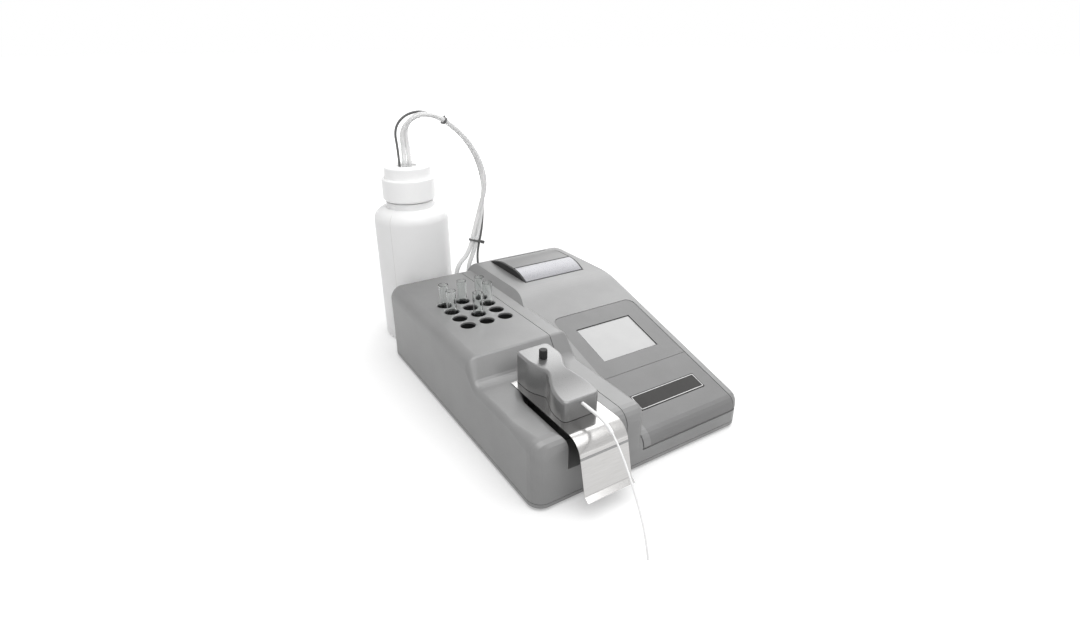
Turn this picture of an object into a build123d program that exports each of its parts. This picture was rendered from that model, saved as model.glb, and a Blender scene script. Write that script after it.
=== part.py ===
from build123d import *
import os
from math import asin, atan, cos, degrees, pi, radians, sin, sqrt, tan

# Bench biochemistry analyzer with its waste bottle.
# Millimetres, +Z up, front towards -Y. Z is 0 on the bench and X is 0 in the middle of the case.
# While modelling, Y is 0 in the middle of the case. place() then moves everything so that the
# origin lies under the middle of the whole object, without the hanging tubes.

# Case
case_w = 270.0
case_d = 370.0
case_right = case_w / 2
case_left = -case_w / 2
case_back = case_d / 2
case_front = -case_d / 2
plan_r = 15.0
wall = 2.5
foot_h = 2.5
foot_r = 8.0
tray_rim_z = 8.0
parting_gap = 0.5
tray_floor = 2.5
tray_lip_h = 5.0
tray_lip_t = 1.6
tray_edge = 1.5
fit_gap = 0.3
seam_x = -31.0
seam_gap = 0.7

# Bosses inside the covers and the screws that come up through the base tray
left_bosses = ((case_left + 12.0, case_back - 25.0), (case_left + 15.0, case_front + 35.0), (seam_x - 8.0, case_front + 123.0))
right_bosses = ((case_right - 17.0, case_back - 19.0), (case_right - 17.0, case_front + 27.0), (seam_x + 11.0, case_front + 20.0))
boss_r = 4.0
boss_depth = 16.0
screw_r = 1.5
screw_head_r = 2.8
screw_head_h = 1.8

# Left cover: tube deck, riser, lower deck
upper_deck_z = 99.5
lower_deck_z = 74.5
riser_y = case_front + 137.0
riser_angle = 54.8
riser_top_r = 4.0
riser_foot_r = 14.0
deck_edge_r = 14.0
low_edge_r = 6.0
front_edge_r = 15.0
back_edge_r = 8.0

# Right cover: printer housing, crest, slope, rail beside it
housing_z = 107.5
slope_front_z = 35.555
crest_from_back = 127.76
crest_r = 120.0
right_edge_r = 7.0
right_front_r = 10.0
rail_x = -8.0
rail_edge_r = 5.0
rail_deck_r = 9.5
rail_nose_r = 8.0
housing_x = -17.5
housing_lean = 11.0
housing_back_r = 5.0

# Wells and incubator
well_x = -72.0
well_y = 55.2
well_pitch_x = 24.2
well_pitch_y = 21.8
well_cols = 3
well_rows = 4
deck_hole_r = 8.8
well_bore_r = 6.3
well_mouth_z = 80.0
well_floor_z = 51.2
block_margin = 11.5
block_floor = 4.0
heater_gap = 0.1
post_r = 4.0
tube_r = 6.0
tube_wall = 1.0
tube_len = 75.0
tubes_at = ((1, 1), (1, 2), (2, 1), (2, 3), (3, 1), (3, 2))

# Sipper bay in the left cover
bay_x0 = -99.5
bay_x1 = -42.0
bay_y1 = case_front + 97.0
bay_floor_z = 38.5
bay_corner_r = 26.0
bay_edge_r = 9.5
light_hole_r = 6.0

# Sip plate
plate_x0 = -98.0
plate_x1 = -43.5
plate_y_back = case_front + 107.0
plate_y_bend = case_front + 2.0
plate_t = 0.8
plate_bend_r = 18.0
plate_lean = 13.0
plate_drop_z = 23.5
plate_lip = 7.0
plate_lip_angle = 35.0
plate_lip_r = 2.5
plate_travel = 2.5

# Optics pedestal and what is under it
axis_x = -72.0
cell_y = case_front + 65.0
ped_w = 28.0
ped_y0 = case_front + 37.0
ped_y1 = case_front + 94.0
neck_w = 16.4
neck_y0 = case_front + 42.0
neck_y1 = case_front + 92.5
neck_top_z = 92.0
cell_side = 12.5
cell_z0 = 80.3
cell_h = 15.7
diode_r = 4.0
diode_h = 3.0
light_r = 4.0
lamp_holder_w = 16.0
lamp_holder_top = 25.0
lamp_r = 4.5
lamp_z0 = 12.0
lamp_h = 9.0
lens_r = 6.0
lens_t = 2.0
wheel_dx = 21.0
wheel_r = 28.0
wheel_z = 26.5
wheel_t = 3.0
filter_r = 5.0
filter_count = 6
wheel_motor_r = 12.0
wheel_motor_h = 19.0
wheel_shaft_r = 2.0
wheel_shaft_len = 14.0

# Sipper head
head_x = -72.0
head_y0 = case_front + 18.0
head_y1 = case_front + 109.0
head_back_half = 19.5
head_waist_half = 11.2
head_front_half = 20.5
head_waist_y = case_front + 64.0
head_corner_r = 6.0
head_back_z = 109.5
head_front_z = 96.5
head_step_y0 = case_front + 10.0
head_step_y1 = case_front + 90.0
head_rim_r = 2.6
head_wall = 2.2
knob_x = -74.0
knob_y = case_front + 82.7
knob_r = 4.25
knob_h = 8.8
knob_shank_r = 1.6
knob_shank_len = 22.0
sleeve_r = 1.7
sip_r = 0.95
sleeve_z = 91.0
sleeve_y_end = case_front - 5.0

# Sip switch, whose own spring sends the plate back
switch_w = 10.0
switch_y0 = case_front + 35.0
switch_len = 20.0
switch_z0 = 52.0
switch_h = 14.0
plunger_r = 1.5
plunger_out = 3.0
tab_w = 11.0
tab_z0 = 53.0

# Printer
printer_x0 = case_right - 120.0
printer_x1 = case_right - 26.0
printer_y0 = case_back - 105.0
printer_y1 = case_back - 7.0
printer_floor_z = 67.5
cheek_t = 2.0
arch_y0 = case_back - 103.0
arch_y1 = case_back - 72.0
arch_y2 = case_back - 50.0
arch_y3 = case_back - 9.0
arch_h = 9.0
skin_t = 1.6
slot_gap = 2.0
door_tail_y = case_back - 11.0
door_pin_y = case_back - 15.5
door_pin_z = 104.4
door_pin_r = 1.5
door_barrel_r = 3.3
door_side_gap = 0.4
door_tail_room = 0.2
pin_gap = 0.05
platen_y = case_back - 68.0
platen_z = 103.5
platen_r = 6.0
platen_shaft_r = 2.0
roll_y = case_back - 42.0
roll_z = 91.0
roll_r = 20.5
roll_core_r = 6.0
roll_w = 80.0
print_head_z0 = 97.0
print_head_h = 6.0
printer_post_xs = (printer_x0 + 10.0, printer_x1 - 10.0)
printer_post_ys = (printer_y0 + 8.0, printer_y1 - 20.0)
printer_posts = [(x, y) for y in printer_post_ys for x in printer_post_xs]

# Control panel, display, blank plate
panel_x0 = 3.0
panel_x1 = case_right - 11.0
panel_y1 = case_front + 184.0
panel_split_y = case_front + 81.0
panel_split_gap = 0.5
panel_low_z = 24.4
panel_corner_r = 10.0
front_groove_z0 = 22.2
front_groove_z1 = 66.0
front_groove_y1 = case_back - 35.0
front_groove_w = 1.6
front_groove_depth = 1.3
panel_t = 1.1
panel_sink = 0.4
window_x0 = panel_x0 + 18.0
window_x1 = panel_x1 - 23.0
window_y0 = case_front + 103.0
window_y1 = case_front + 159.0
glass_lap = 1.6
display_t = 8.0
display_lap = 7.0
plate_area = (panel_x0 + 12.0, panel_x1 - 17.0, case_front + 30.0, case_front + 50.5)
name_plate_t = 0.5

# Rear panel and what it carries
rear_x0 = case_right - 181.0
rear_x1 = case_right - 25.0
rear_z0 = 28.5
rear_z1 = 84.5
rear_lap = 4.0
rear_t = 1.5
waste_x = case_right - 166.0
air_x = case_right - 146.5
lead_x = case_right - 133.0
port_z = 58.0
elbow_y = case_back + 12.0
elbow_top_z = 76.5
elbow_r = 3.6
plug_y = case_back + 6.0
plug_top_z = 84.0
fan_x = case_right - 99.0
fan_z = 46.5
fan_side = 38.0
fan_t = 10.0
fan_hub_r = 7.0
fan_blades = 7
switch_x = case_right - 69.0
inlet_x = case_right - 41.0
inlet_z = 50.0
rocker_tilt = 8.0

# Boards and power supply
board_x0 = 2.0
board_x1 = case_right - 23.0
board_y0 = case_front + 35.0
board_y1 = case_back - 115.0
board_z = 9.0
board_t = 1.6
supply_box = (case_right - 73.0, case_right - 11.0, case_back - 93.0, case_back - 35.0, 5.0, 37.0)

# Peristaltic pump
pump_y = case_back - 45.0
pump_z = 48.0
pump_x0 = case_left + 19.0
pump_x1 = case_left + 37.0
pump_half = 28.0
track_r = 23.4
orbit_r = 14.5
roller_r = 5.0
roller_count = 2
roller_pin_r = 1.5
squeezed = 3.6
pump_motor_r = 17.0
pump_motor_len = 34.0

# Bottle
bottle_x = -73.5
bottle_gap = 3.0
bottle_r = 50.0
bottle_wall = 1.8
bottle_foot_r = 6.0
shoulder_z0 = 172.0
shoulder_z1 = 188.0
neck_step_r = 32.0
neck_r = 28.5
bottle_neck_z = 236.5
neck_low_z = bottle_neck_z - 39.5
cap_z0 = bottle_neck_z - 39.0
cap_step_z = bottle_neck_z - 9.5
cap_top_z = bottle_neck_z + 5.5
cap_low_r = 35.3
cap_top_r = 31.0
cap_bore_r = 29.0
cap_hole_r = 13.0
cap_ceiling_z = bottle_neck_z + 2.0
liner_t = 1.4
plug_r = 12.6
plug_flange_r = 20.0
plug_flange_t = 2.0
plug_z1 = bottle_neck_z + 3.7
stub_z0 = bottle_neck_z - 22.5
hose_r = 3.0
hose_bore_r = 2.1
lead_r = 1.6
hose_gap = 0.3
waste_hole_x = -76.3
air_hole_x = -69.2
lead_hole_x = -83.5

# Cable ties round the tubes and the lead
tie_t = 1.1
tie_band = 2.6
tie_inner_w = 6.7
tie_inner_len = 17.6

# Places worked out from the sizes
case_x = case_w / 2
case_y = case_d / 2
cover_z0 = tray_rim_z + parting_gap
bottle_y = case_y + bottle_gap + bottle_r
riser_tan = tan(radians(riser_angle))
riser_half = tan(radians(riser_angle / 2))
slope_rise = (housing_z - slope_front_z) / (case_d - crest_from_back)
slope_z = slope_front_z - slope_rise * case_front
slope_angle = atan(slope_rise)
plate_z0 = lower_deck_z + fit_gap
plate_z1 = plate_z0 + plate_t
block_top_z = upper_deck_z - wall - fit_gap
block_z0 = well_floor_z - block_floor
wheel_x = axis_x + wheel_dx
plate_centre_x = (plate_x0 + plate_x1) / 2
tub_x0 = printer_x0 + fit_gap
tub_x1 = printer_x1 - fit_gap
tub_y0 = printer_y0 + fit_gap
tub_y1 = printer_y1 - fit_gap
door_x0 = tub_x0 + cheek_t + door_side_gap
door_x1 = tub_x1 - cheek_t - door_side_gap
hose_places = ((waste_hole_x, hose_r), (air_hole_x, hose_r), (lead_hole_x, lead_r))


def block(x0, x1, y0, y1, z0, z1):
    size = Box(x1 - x0, y1 - y0, z1 - z0)
    return Pos((x0 + x1) / 2, (y0 + y1) / 2, (z0 + z1) / 2) * size


def rod_z(x, y, z0, z1, r):
    return Pos(x, y, (z0 + z1) / 2) * Cylinder(r, z1 - z0)


def rod_x(x0, x1, y, z, r):
    return Pos((x0 + x1) / 2, y, z) * Rot(0, 90, 0) * Cylinder(r, x1 - x0)


def rod_y(x, y0, y1, z, r):
    return Pos(x, (y0 + y1) / 2, z) * Rot(90, 0, 0) * Cylinder(r, y1 - y0)


def join(shapes):
    whole = shapes[0]
    for shape in shapes[1:]:
        whole = whole + shape
    return whole


# Profiles of the covers, as a height for each Y. inset moves the surface inwards.
def end_drop(y, r, inset, end):
    d = abs(y) - (end - inset - (r - inset))
    if d <= 0:
        return 0.0
    rr = r - inset
    return rr - sqrt(max(rr * rr - d * d, 0.0))


def left_height(y, inset=0.0):
    high = upper_deck_z - inset
    low = lower_deck_z - inset
    edge_y = riser_y + inset * riser_half
    foot_y = edge_y - (high - low) / riser_tan
    r_top = max(riser_top_r - inset, 0.5)
    r_foot = riser_foot_r + inset
    reach_top = r_top * riser_half
    reach_foot = r_foot * riser_half
    slant_top = reach_top * cos(radians(riser_angle))
    slant_foot = reach_foot * cos(radians(riser_angle))
    if y >= edge_y + reach_top:
        return high
    if y > edge_y - slant_top:
        return high - r_top + sqrt(r_top ** 2 - (edge_y + reach_top - y) ** 2)
    if y > foot_y + slant_foot:
        return high - (edge_y - y) * riser_tan
    if y > foot_y - reach_foot:
        return low + r_foot - sqrt(r_foot ** 2 - (y - foot_y + reach_foot) ** 2)
    return low


def left_top(y, inset=0.0):
    r = front_edge_r if y < 0 else back_edge_r
    return left_height(y, inset) - end_drop(y, r, inset, case_y)


def right_height(y, inset=0.0):
    high = housing_z - inset
    drop = inset / cos(slope_angle)
    crest_y = (high - (slope_z - drop)) / slope_rise
    reach = crest_r * tan(slope_angle / 2)
    if y >= crest_y + reach:
        return high
    if y > crest_y - reach * cos(slope_angle):
        return high - crest_r + sqrt(crest_r ** 2 - (crest_y + reach - y) ** 2)
    return slope_z - drop + slope_rise * y


def right_top(y, inset=0.0):
    r = right_front_r if y < 0 else housing_back_r
    return right_height(y, inset) - end_drop(y, r, inset, case_y)


def corner_pull(y, r, inset):
    d = abs(y) - (case_y - r)
    if d <= 0:
        return 0.0
    rr = r - inset
    return rr - sqrt(max(rr * rr - d * d, 0.0))


def low_side_r(y, inset):
    share = min(max((case_front + 45.0 - y) / 30.0, 0.0), 1.0)
    r = low_edge_r + (front_edge_r - 3.0 - low_edge_r) * share
    height = (left_height(y) - lower_deck_z) / (upper_deck_z - lower_deck_z)
    return max(r + (deck_edge_r - r) * height - inset, 1.0)


def end_stations(sign, inset):
    angles = (0, 20, 38, 54, 68, 80, 90)
    rr = plan_r - inset
    return [sign * (case_y - plan_r + rr * sin(radians(a))) for a in angles]


def arc_stations(y0, y1, count):
    return [y0 + (y1 - y0) * i / count for i in range(count + 1)]


def left_stations(inset):
    foot_y = riser_y - (upper_deck_z - lower_deck_z) / riser_tan
    shift = inset * riser_half
    top = arc_stations(riser_y + 3.0 + shift, riser_y - 2.5 + shift, 4)
    foot = arc_stations(foot_y + 6.0 + shift, foot_y - 9.0 + shift, 7)
    front = arc_stations(case_front + 45.0, case_front + 21.0, 3)
    return end_stations(1, inset)[::-1] + top + foot + front + end_stations(-1, inset)


def right_stations(inset):
    crest_y = (housing_z - slope_z) / slope_rise
    crest = arc_stations(crest_y + 18.0, crest_y - 17.0, 7)
    step = [(upper_deck_z - slope_z) / slope_rise]
    return end_stations(1, inset)[::-1] + crest + step + end_stations(-1, inset)


def side_section(y, x_in, x_out, z0, z_top, r, z_step=None, lean=0.0):
    s = 1 if x_in > x_out else -1
    bend = r * (1 - sin(pi / 4))
    points = [(x_in, y, z0)]
    if z_step is not None:
        points.append((x_in, y, z_step))
    points.append((x_in + lean, y, z_top))
    points.append((x_out + s * r, y, z_top))
    edges = [Line(points[i], points[i + 1]) for i in range(len(points) - 1)]
    edges.append(ThreePointArc(points[-1], (x_out + s * bend, y, z_top - bend), (x_out, y, z_top - r)))
    edges.append(Line((x_out, y, z_top - r), (x_out, y, z0)))
    edges.append(Line((x_out, y, z0), points[0]))
    return Face(Wire(edges))


def left_skin(inset=0.0, x_in=seam_x - seam_gap / 2, z0=cover_z0):
    faces = []
    for y in left_stations(inset):
        x_out = -case_x + inset + corner_pull(y, plan_r, inset)
        faces.append(side_section(y, x_in, x_out, z0, left_top(y, inset), low_side_r(y, inset)))
    return loft(faces, ruled=True)


def rail_skin(inset=0.0, x_in=seam_x + seam_gap / 2, z0=cover_z0):
    faces = []
    for y in left_stations(inset):
        x_out = rail_x - inset - corner_pull(min(y, 0.0), rail_nose_r, inset)
        share = (left_height(y) - lower_deck_z) / (upper_deck_z - lower_deck_z)
        r = max(rail_edge_r + (rail_deck_r - rail_edge_r) * share - inset, 1.0)
        faces.append(side_section(y, x_in, x_out, z0, left_top(y, inset), r))
    return loft(faces, ruled=True)


def right_skin(inset=0.0, z0=cover_z0, x_in=None):
    faces = []
    for y in right_stations(inset):
        inner_x = housing_x + inset * 0.96 if x_in is None else x_in
        if x_in is None and y < -case_y / 2:
            inner_x -= rail_nose_r
        x_out = case_x - inset - corner_pull(y, plan_r, inset)
        z_top = right_top(y, inset)
        z_step = min(z_top, upper_deck_z - inset) - 1.0
        above = max(z_top - (upper_deck_z - inset), 0.0)
        lean = 0.0
        if x_in is None:
            lean = housing_lean * above / (housing_z - upper_deck_z)
        r = max(right_edge_r - inset, 1.0)
        faces.append(side_section(y, inner_x, x_out, z0, z_top, r, z_step, lean))
    return loft(faces, ruled=True)


def bosses(places, skin):
    posts = join([rod_z(x, y, foot_h + tray_floor, housing_z, boss_r) for x, y in places])
    return posts & extend_down(skin)


def extend_down(skin):
    low = block(-case_x, case_x, -case_y, case_y, foot_h + tray_floor, cover_z0 + 0.01)
    return skin + low


def boss_bores(places):
    top = foot_h + tray_floor + boss_depth
    return join([rod_z(x, y, foot_h, top, screw_r + pin_gap) for x, y in places])


def wells():
    for col in range(well_cols):
        for row in range(well_rows):
            x = well_x + (col - (well_cols - 1) / 2) * well_pitch_x
            y = well_y - (row - (well_rows - 1) / 2) * well_pitch_y
            yield col + 1, row + 1, x, y


def bay_prism(grow, z0, z1):
    r = bay_corner_r + grow
    x0 = bay_x0 - grow
    y1 = bay_y1 + grow
    shape = block(x0, bay_x1 + grow, -case_y - 20, y1 - r, z0, z1)
    shape += block(x0 + r, bay_x1 + grow, y1 - r - 1, y1, z0, z1)
    return shape + rod_z(x0 + r, y1 - r, z0, z1, r)


def bay_round_over():
    cx = bay_x0 + bay_corner_r
    cy = bay_y1 - bay_corner_r
    z = lower_deck_z - bay_edge_r
    top = lower_deck_z + 0.5
    straight = block(bay_x0 - bay_edge_r, bay_x0 + 0.5, -case_y - 1, cy, z, top)
    straight -= rod_y(bay_x0 - bay_edge_r, -case_y - 2, cy + 1, z, bay_edge_r)
    ring_r = bay_corner_r + bay_edge_r
    ring = rod_z(cx, cy, z, top, ring_r) - rod_z(cx, cy, z - 1, top + 1, bay_corner_r - 0.5)
    ring -= Pos(cx, cy, z) * Torus(ring_r, bay_edge_r)
    quarter = block(cx - ring_r - 1, cx, cy, cy + ring_r + 1, z - 1, top + 1)
    return straight + (ring & quarter)


def bay_rim():
    """Thicker wall under the rounded edge of the bay, so that the rounding never breaks through."""
    outer = bay_prism(bay_edge_r - wall, lower_deck_z - bay_edge_r + wall, lower_deck_z)
    return outer + bay_prism(bay_edge_r / 2, lower_deck_z - bay_edge_r - wall, lower_deck_z)


def make_left_cover():
    skin = left_skin()
    hollow = left_skin(wall, seam_x + 1.0, cover_z0 - 1.0)
    shell = skin - hollow
    shell += bay_prism(wall, bay_floor_z - wall, lower_deck_z + 20) & skin
    shell += bay_rim() & skin
    shell += bosses(left_bosses, skin)
    shell -= bay_prism(0.0, bay_floor_z, lower_deck_z + 20)
    shell -= bay_round_over()
    shell -= boss_bores(left_bosses)
    shell -= rod_z(axis_x, cell_y, bay_floor_z - wall - 1, bay_floor_z + 1, light_hole_r)
    for col, row, x, y in wells():
        hole = rod_z(x, y, upper_deck_z - wall - 1, upper_deck_z + 1, deck_hole_r)
        shell -= hole
    shell -= rear_cut()
    rims = shell.edges().filter_by(GeomType.CIRCLE)
    rims = [e for e in rims if abs(e.center().Z - upper_deck_z) < 0.01]
    rims = [e for e in rims if abs(e.radius - deck_hole_r) < 0.01]
    return fillet(rims, 1.0)


def rear_cut():
    return block(rear_x0, rear_x1, case_y - wall - 1, case_y + 1, rear_z0, rear_z1)


def panel_zone(grow=0.0):
    x0 = panel_x0 - grow
    x1 = panel_x1 + grow
    y1 = panel_y1 + grow
    zone = block(x0, x1, -case_y - 5, y1, panel_low_z - grow, housing_z + 5)
    edges = [e for e in zone.edges().filter_by(Axis.Z) if abs(e.center().Y - y1) < 0.01]
    return fillet(edges, panel_corner_r)


def slope_layer(depth0, depth1):
    upper = right_skin(depth0, cover_z0, housing_x)
    lower = right_skin(depth1, cover_z0 - 1, housing_x - 1)
    return upper - lower


def window_prism(grow, z0=0.0):
    return block(window_x0 - grow, window_x1 + grow, window_y0 - grow, window_y1 + grow, z0, housing_z)


def make_right_cover():
    skin = right_skin() + rail_skin()
    hollow = right_skin(wall, cover_z0 - 1.0) + rail_skin(wall, seam_x - 1.0, cover_z0 - 1.0)
    shell = skin - hollow
    shell += bosses(right_bosses, skin)
    shell -= boss_bores(right_bosses)
    shell -= slope_layer(-3.0, panel_sink + panel_t) & panel_zone(fit_gap)
    shell -= window_prism(glass_lap + fit_gap) & block(0, case_x, -case_y, case_y, slope_floor(), housing_z)
    shell -= block(printer_x0, printer_x1, printer_y0, printer_y1, housing_z - 20, housing_z + 5)
    shell -= front_groove()
    return shell - rear_cut()


def front_groove():
    """Shadow groove round the slope's front: below the panel, round the corner, and up beside the rail."""
    x0 = rail_x + 0.1
    low = block(x0, case_x + 1, -case_y - 1, front_groove_y1, front_groove_z0, panel_low_z)
    up = block(x0, x0 + front_groove_w, -case_y - 1, -case_y + 12, front_groove_z0, front_groove_z1)
    return (low + up) & (right_skin() - right_skin(front_groove_depth, cover_z0 - 1.0, seam_x))


def slope_floor():
    return right_height(window_y0 - glass_lap) - wall - 8.0


def make_base_tray():
    plan = RectangleRounded(case_w, case_d, plan_r)
    tray = Pos(0, 0, foot_h) * extrude(plan, tray_rim_z - foot_h)
    bottom = tray.edges().group_by(Axis.Z)[0]
    tray = chamfer(bottom, tray_edge)
    lip_w = case_w - 2 * (wall + fit_gap)
    lip_d = case_d - 2 * (wall + fit_gap)
    lip_r = plan_r - wall - fit_gap
    lip = Pos(0, 0, tray_rim_z - 1) * extrude(RectangleRounded(lip_w, lip_d, lip_r), 1 + tray_lip_h)
    inner_r = lip_r - tray_lip_t
    inside = RectangleRounded(lip_w - 2 * tray_lip_t, lip_d - 2 * tray_lip_t, inner_r)
    tray = tray + lip - Pos(0, 0, foot_h + tray_floor) * extrude(inside, tray_rim_z + tray_lip_h)
    for x, y in left_bosses + right_bosses:
        tray -= rod_z(x, y, foot_h - 1, foot_h + tray_floor + 1, screw_r + 2 * pin_gap)
        tray -= rod_z(x, y, foot_h - 1, foot_h + screw_head_h, screw_head_r + fit_gap)
    for x, y in board_corners():
        tray += rod_z(x, y, foot_h + tray_floor - 0.5, board_z, 3.0)
    for x, y in post_places():
        tray += rod_z(x, y, foot_h + tray_floor - 0.5, block_z0, post_r)
    for x, y in printer_posts:
        tray += rod_z(x, y, foot_h + tray_floor - 0.5, printer_floor_z, post_r - 0.5)
    return tray


def make_cover_screws():
    screws = []
    for x, y in left_bosses + right_bosses:
        top = foot_h + tray_floor + boss_depth - 2.0
        screw = rod_z(x, y, foot_h + 0.2, foot_h + screw_head_h, screw_head_r)
        screw += rod_z(x, y, foot_h + screw_head_h, top, screw_r)
        screw -= rod_z(x, y, foot_h, foot_h + 1.2, 1.2)
        screws.append(screw)
    return join(screws)


def make_feet():
    feet = []
    for sx in (-1, 1):
        for sy in (-1, 1):
            x = sx * (case_x - 25.0)
            y = sy * (case_y - 35.0)
            foot = rod_z(x, y, 0.0, foot_h, foot_r)
            feet.append(chamfer(foot.edges().group_by(Axis.Z)[0], 0.6))
    return join(feet)


# Incubator
def post_places():
    half_x = well_pitch_x * (well_cols - 1) / 2 + block_margin - post_r
    half_y = well_pitch_y * (well_rows - 1) / 2 + block_margin - post_r
    return [(well_x + sx * half_x, well_y + sy * half_y) for sx in (-1, 1) for sy in (-1, 1)]


def incubator_plan(grow=0.0):
    half_x = well_pitch_x * (well_cols - 1) / 2 + block_margin + grow
    half_y = well_pitch_y * (well_rows - 1) / 2 + block_margin + grow
    return well_x - half_x, well_x + half_x, well_y - half_y, well_y + half_y


def make_incubator():
    body = block(*incubator_plan(), well_floor_z, block_top_z)
    body = fillet(body.edges().filter_by(Axis.Z), 3.0)
    for col, row, x, y in wells():
        body -= rod_z(x, y, well_mouth_z, block_top_z + 1, deck_hole_r - 0.3)
        body -= rod_z(x, y, well_floor_z - 1, well_mouth_z + 1, well_bore_r)
    heater = block(*incubator_plan(), block_z0, well_floor_z - heater_gap)
    heater = fillet(heater.edges().filter_by(Axis.Z), 3.0)
    return join([body, heater])


def make_glass_tube(x, y):
    z0 = well_floor_z + fit_gap
    outer = rod_z(x, y, z0 + tube_r, z0 + tube_len, tube_r) + Pos(x, y, z0 + tube_r) * Sphere(tube_r)
    inner_r = tube_r - tube_wall
    inner = rod_z(x, y, z0 + tube_r, z0 + tube_len + 1, inner_r) + Pos(x, y, z0 + tube_r) * Sphere(inner_r)
    return outer - inner


# Sip plate, a strip of sheet swept along its side view
def make_sip_plate():
    lean = radians(plate_lean)
    turn = radians(90 - plate_lean)
    z_mid = plate_z0 + plate_t / 2
    corner_reach = plate_bend_r * tan(turn / 2)
    corner_y = plate_y_bend - corner_reach
    drop_y = corner_y - (z_mid - plate_drop_z) * tan(lean)
    lip = radians(plate_lip_angle)
    lip_end = (plate_centre_x, drop_y - plate_lip * cos(lip), plate_drop_z - plate_lip * sin(lip))
    path = FilletPolyline(
        (plate_centre_x, plate_y_back, z_mid),
        (plate_centre_x, corner_y, z_mid),
        (plate_centre_x, drop_y, plate_drop_z),
        lip_end,
        radius=[plate_bend_r, plate_lip_r],
    )
    start = Plane(origin=(plate_centre_x, plate_y_back, z_mid), x_dir=(1, 0, 0), z_dir=(0, -1, 0))
    strip = sweep(start * Rectangle(plate_x1 - plate_x0, plate_t), path=path)
    slot_y0 = neck_y0 - fit_gap - plate_travel
    slot_half = neck_w / 2 + fit_gap
    slot_y1 = neck_y1 + fit_gap
    strip -= block(axis_x - slot_half, axis_x + slot_half, slot_y0, slot_y1, plate_z0 - 1, plate_z1 + 1)
    tab_y = tab_front_y()
    strip += block(tab_x0(), tab_x0() + tab_w, tab_y, tab_y + plate_t, tab_z0, plate_z0 + plate_t / 2)
    return strip


def switch_x0():
    return axis_x + ped_w / 2


def tab_x0():
    return switch_x0() + 0.8


def tab_front_y():
    return switch_y0 - plunger_out - fit_gap - plate_t


def make_sip_switch():
    x0 = switch_x0()
    x = x0 + switch_w / 2
    z = switch_z0 + switch_h / 2
    body = block(x0, x0 + switch_w, switch_y0, switch_y0 + switch_len, switch_z0, switch_z0 + switch_h)
    body = fillet(body.edges().filter_by(Axis.Y).group_by(Axis.X)[-1], 0.8)
    for y in (switch_y0 + 5, switch_y0 + 10, switch_y0 + 15):
        body += block(x - 1.2, x + 1.2, y, y + 0.8, switch_z0 - 4, switch_z0 + 0.5)
    return body - rod_y(x, switch_y0 - 1, switch_y0 + plate_travel + 2.5, z, plunger_r + pin_gap)


def make_switch_plunger():
    x = switch_x0() + switch_w / 2
    z = switch_z0 + switch_h / 2
    pin = rod_y(x, switch_y0 - plunger_out, switch_y0 + 1.5, z, plunger_r)
    return chamfer(pin.edges().group_by(Axis.Y)[0], 0.4)


# Optics
def make_pedestal():
    foot = block(axis_x - ped_w / 2, axis_x + ped_w / 2, ped_y0, ped_y1, bay_floor_z, lower_deck_z)
    foot = fillet(foot.edges().filter_by(Axis.Z), 3.0)
    neck = block(axis_x - neck_w / 2, axis_x + neck_w / 2, neck_y0, neck_y1, lower_deck_z - 1, neck_top_z)
    body = foot + neck
    half = cell_side / 2 + fit_gap
    seat_z = cell_z0 - fit_gap
    body -= block(axis_x - half, axis_x + half, cell_y - half, cell_y + half, seat_z, neck_top_z + 1)
    body -= rod_z(axis_x, cell_y, bay_floor_z - 1, cell_z0, light_r)
    body -= rod_z(knob_x, knob_y, head_back_z - knob_shank_len - 2, neck_top_z + 1, knob_shank_r + pin_gap)
    groove = sleeve_r + 1.2
    body -= block(axis_x - groove, axis_x + groove, neck_y0 - 1, cell_y, sleeve_z - groove, neck_top_z + 1)
    return body


def make_flow_cell():
    half = cell_side / 2
    z1 = cell_z0 + cell_h
    cell = block(axis_x - half, axis_x + half, cell_y - half, cell_y + half, cell_z0, z1)
    cell = chamfer(cell.edges().filter_by(Axis.Z), 0.6)
    cell -= rod_z(axis_x, cell_y, cell_z0 - 1, cell_z0 + 3, 2.5)
    detector = rod_z(axis_x, cell_y, z1 - 0.5, z1 + diode_h, diode_r)
    return cell + fillet(detector.edges().group_by(Axis.Z)[-1], 0.6)


def make_lamp_holder():
    half = lamp_holder_w / 2
    z0 = foot_h + tray_floor
    body = block(axis_x - half, axis_x + half, cell_y - half, cell_y + half, z0, lamp_holder_top)
    body -= rod_z(axis_x, cell_y, lamp_z0 - 1.0, lamp_holder_top + 1, lamp_r + 0.5)
    body -= rod_z(axis_x, cell_y, lamp_holder_top - lens_t - 0.5, lamp_holder_top + 1, lens_r + 0.1)
    return body


def make_lamp_and_lens():
    bulb = rod_z(axis_x, cell_y, lamp_z0, lamp_z0 + lamp_h - lamp_r, lamp_r)
    bulb += Pos(axis_x, cell_y, lamp_z0 + lamp_h - lamp_r) * Sphere(lamp_r)
    bulb += rod_z(axis_x, cell_y, lamp_z0 - 1.0, lamp_z0, lamp_r - 1)
    return bulb + rod_z(axis_x, cell_y, lamp_holder_top - lens_t - 0.5, lamp_holder_top - 0.5, lens_r)


def filter_places():
    for i in range(filter_count):
        a = radians(180 + 360 * i / filter_count)
        yield wheel_x + wheel_dx * cos(a), cell_y + wheel_dx * sin(a)


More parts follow.
